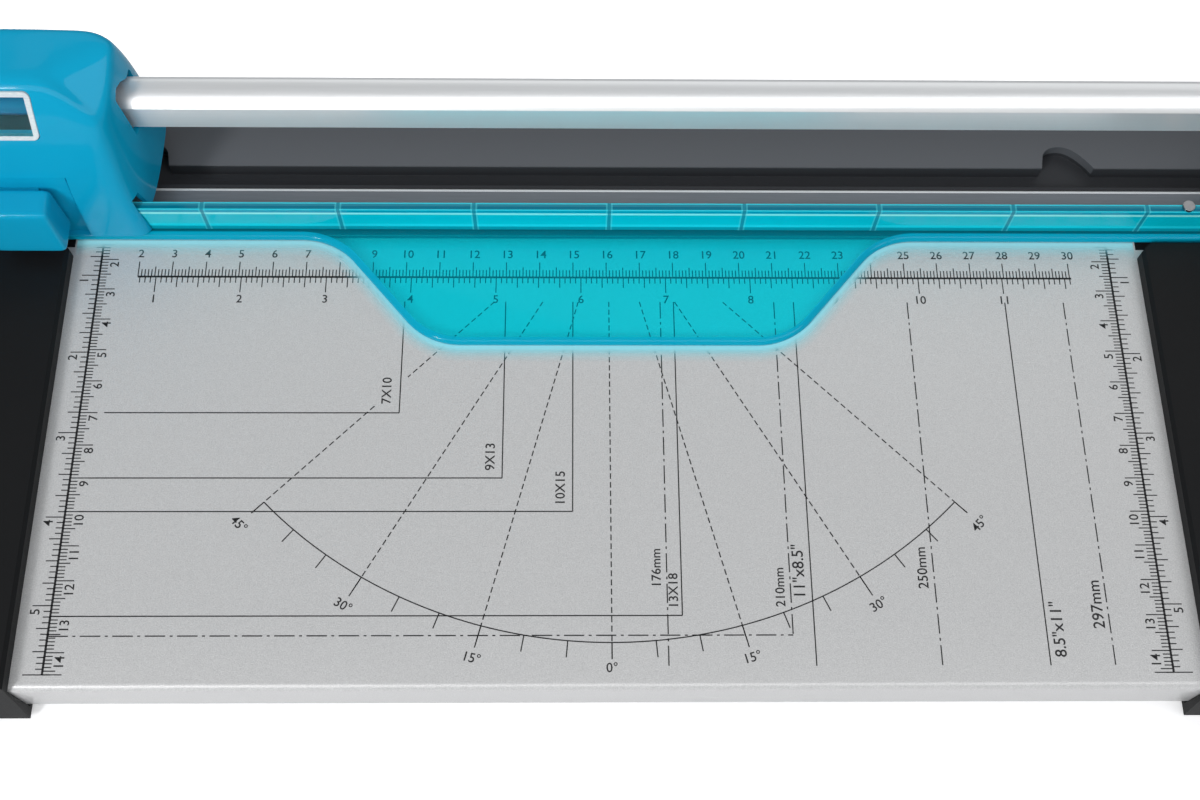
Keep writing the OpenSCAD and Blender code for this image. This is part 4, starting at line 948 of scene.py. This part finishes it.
# Window: a clear insert with a rim, clipped into the hood's face over the carriage. The rim is
# frosted and takes the light, and the carriage shows through the pane.
window_clear, wire = material("clear_window")
climb_way = Vector((0.0, 0.4446, 0.8957))
pane_x, pane_y = 0.0099, 0.0060
climb = wire.node("ShaderNodeVectorMath", {"operation": "DOT_PRODUCT"}, {0: spot(wire), 1: climb_way},
                  output="Value")
at_side = wire.maths("GREATER_THAN", wire.maths("ABSOLUTE", spot(wire, "X") - head_x), pane_x)
at_end = wire.maths("GREATER_THAN", wire.maths("ABSOLUTE", climb - climb_way.dot(window_middle)), pane_y)
bezel = wire.maths("MAXIMUM", at_side, at_end)
brushed = grain(wire, 0.0012, 2.0, stretch=(1.0, 3.0, 3.0))
frosted = gloss(wire, Base_Color=tint(wire, brushed, (0.55, 0.68, 0.74), (1.0, 1.0, 1.0)),
                Roughness=0.1 + grain(wire, 0.001) * 0.1)
facing = wire.node("ShaderNodeFresnel", inputs={"IOR": 1.35})
glazed = either(wire, facing, open_way(wire, (0.35, 0.92, 1.0)), polish(wire, (1.0, 1.0, 1.0), 0.03))
surface(window_clear, wire, either(wire, bezel * 0.85, glazed, frosted))
soften("head_window", window_clear, "carriage", 0.0003)

# Inside: a darker teal carriage with a white slide bush at each end of its tunnel
teal_dark, wire = material("teal_inner")
shade = tint(wire, grain(wire, 0.01), (0.004, 0.13, 0.24), (0.006, 0.16, 0.29))
surface(teal_dark, wire, gloss(wire, Base_Color=shade, Roughness=0.38 + grain(wire, 0.0005) * 0.1))
soften("head_chassis", teal_dark, "carriage", 0.0003)
pale, wire = material("glide_white")
shade = tint(wire, grain(wire, 0.004), (0.66, 0.66, 0.64), (0.74, 0.74, 0.72))
surface(pale, wire, gloss(wire, Base_Color=shade, Roughness=0.35 + grain(wire, 0.0006) * 0.1))
soften("rail_glides", pale, "carriage", 0.0002)


# Blade unit: a round steel blade on a dark hub, held by an axle between the holder's cheeks. A clip
# keeps the axle, and coil springs lift the holder again.
graphite, wire = material("holder_graphite")
shade = tint(wire, grain(wire, 0.01), (0.035, 0.032, 0.030), (0.055, 0.050, 0.047))
surface(graphite, wire, gloss(wire, Base_Color=shade, Roughness=0.4 + grain(wire, 0.0005) * 0.15))
soften("blade_holder", graphite, "press", 0.0003)
soften("blade_hub", graphite, "wheel", 0.0002)
soften("blade_axle", plated, "press", 0.0001)
ground, wire = material("ground_steel")
arc = grain(wire, 0.0004, 2.0)
surface(ground, wire, gloss(wire, Base_Color=tint(wire, arc, (0.62, 0.63, 0.64), (0.74, 0.75, 0.76)),
                            Metallic=1.0, Roughness=0.18 + arc * 0.15))
soften("blade_wheel", ground, "wheel", 0)
bright, wire = material("spring_wire")
shade = tint(wire, grain(wire, 0.001), (0.55, 0.56, 0.57), (0.66, 0.67, 0.68))
surface(bright, wire, gloss(wire, Base_Color=shade, Metallic=1.0,
                            Roughness=0.22 + grain(wire, 0.0004) * 0.12))
soften("axle_clip", bright, "press", 0.0001)
# Each pair of coils gets a mesh of its own, and its foot and head are read from its part
for node, body, joint, squeeze in (("clamp_springs", "base", "clamp_press", 0.0012),
                                   ("return_springs", "carriage", "blade_press", 0.003)):
    coils = soften(node, bright, body, 0)
    (_, _, foot), (_, _, head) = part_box(node)
    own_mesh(coils)
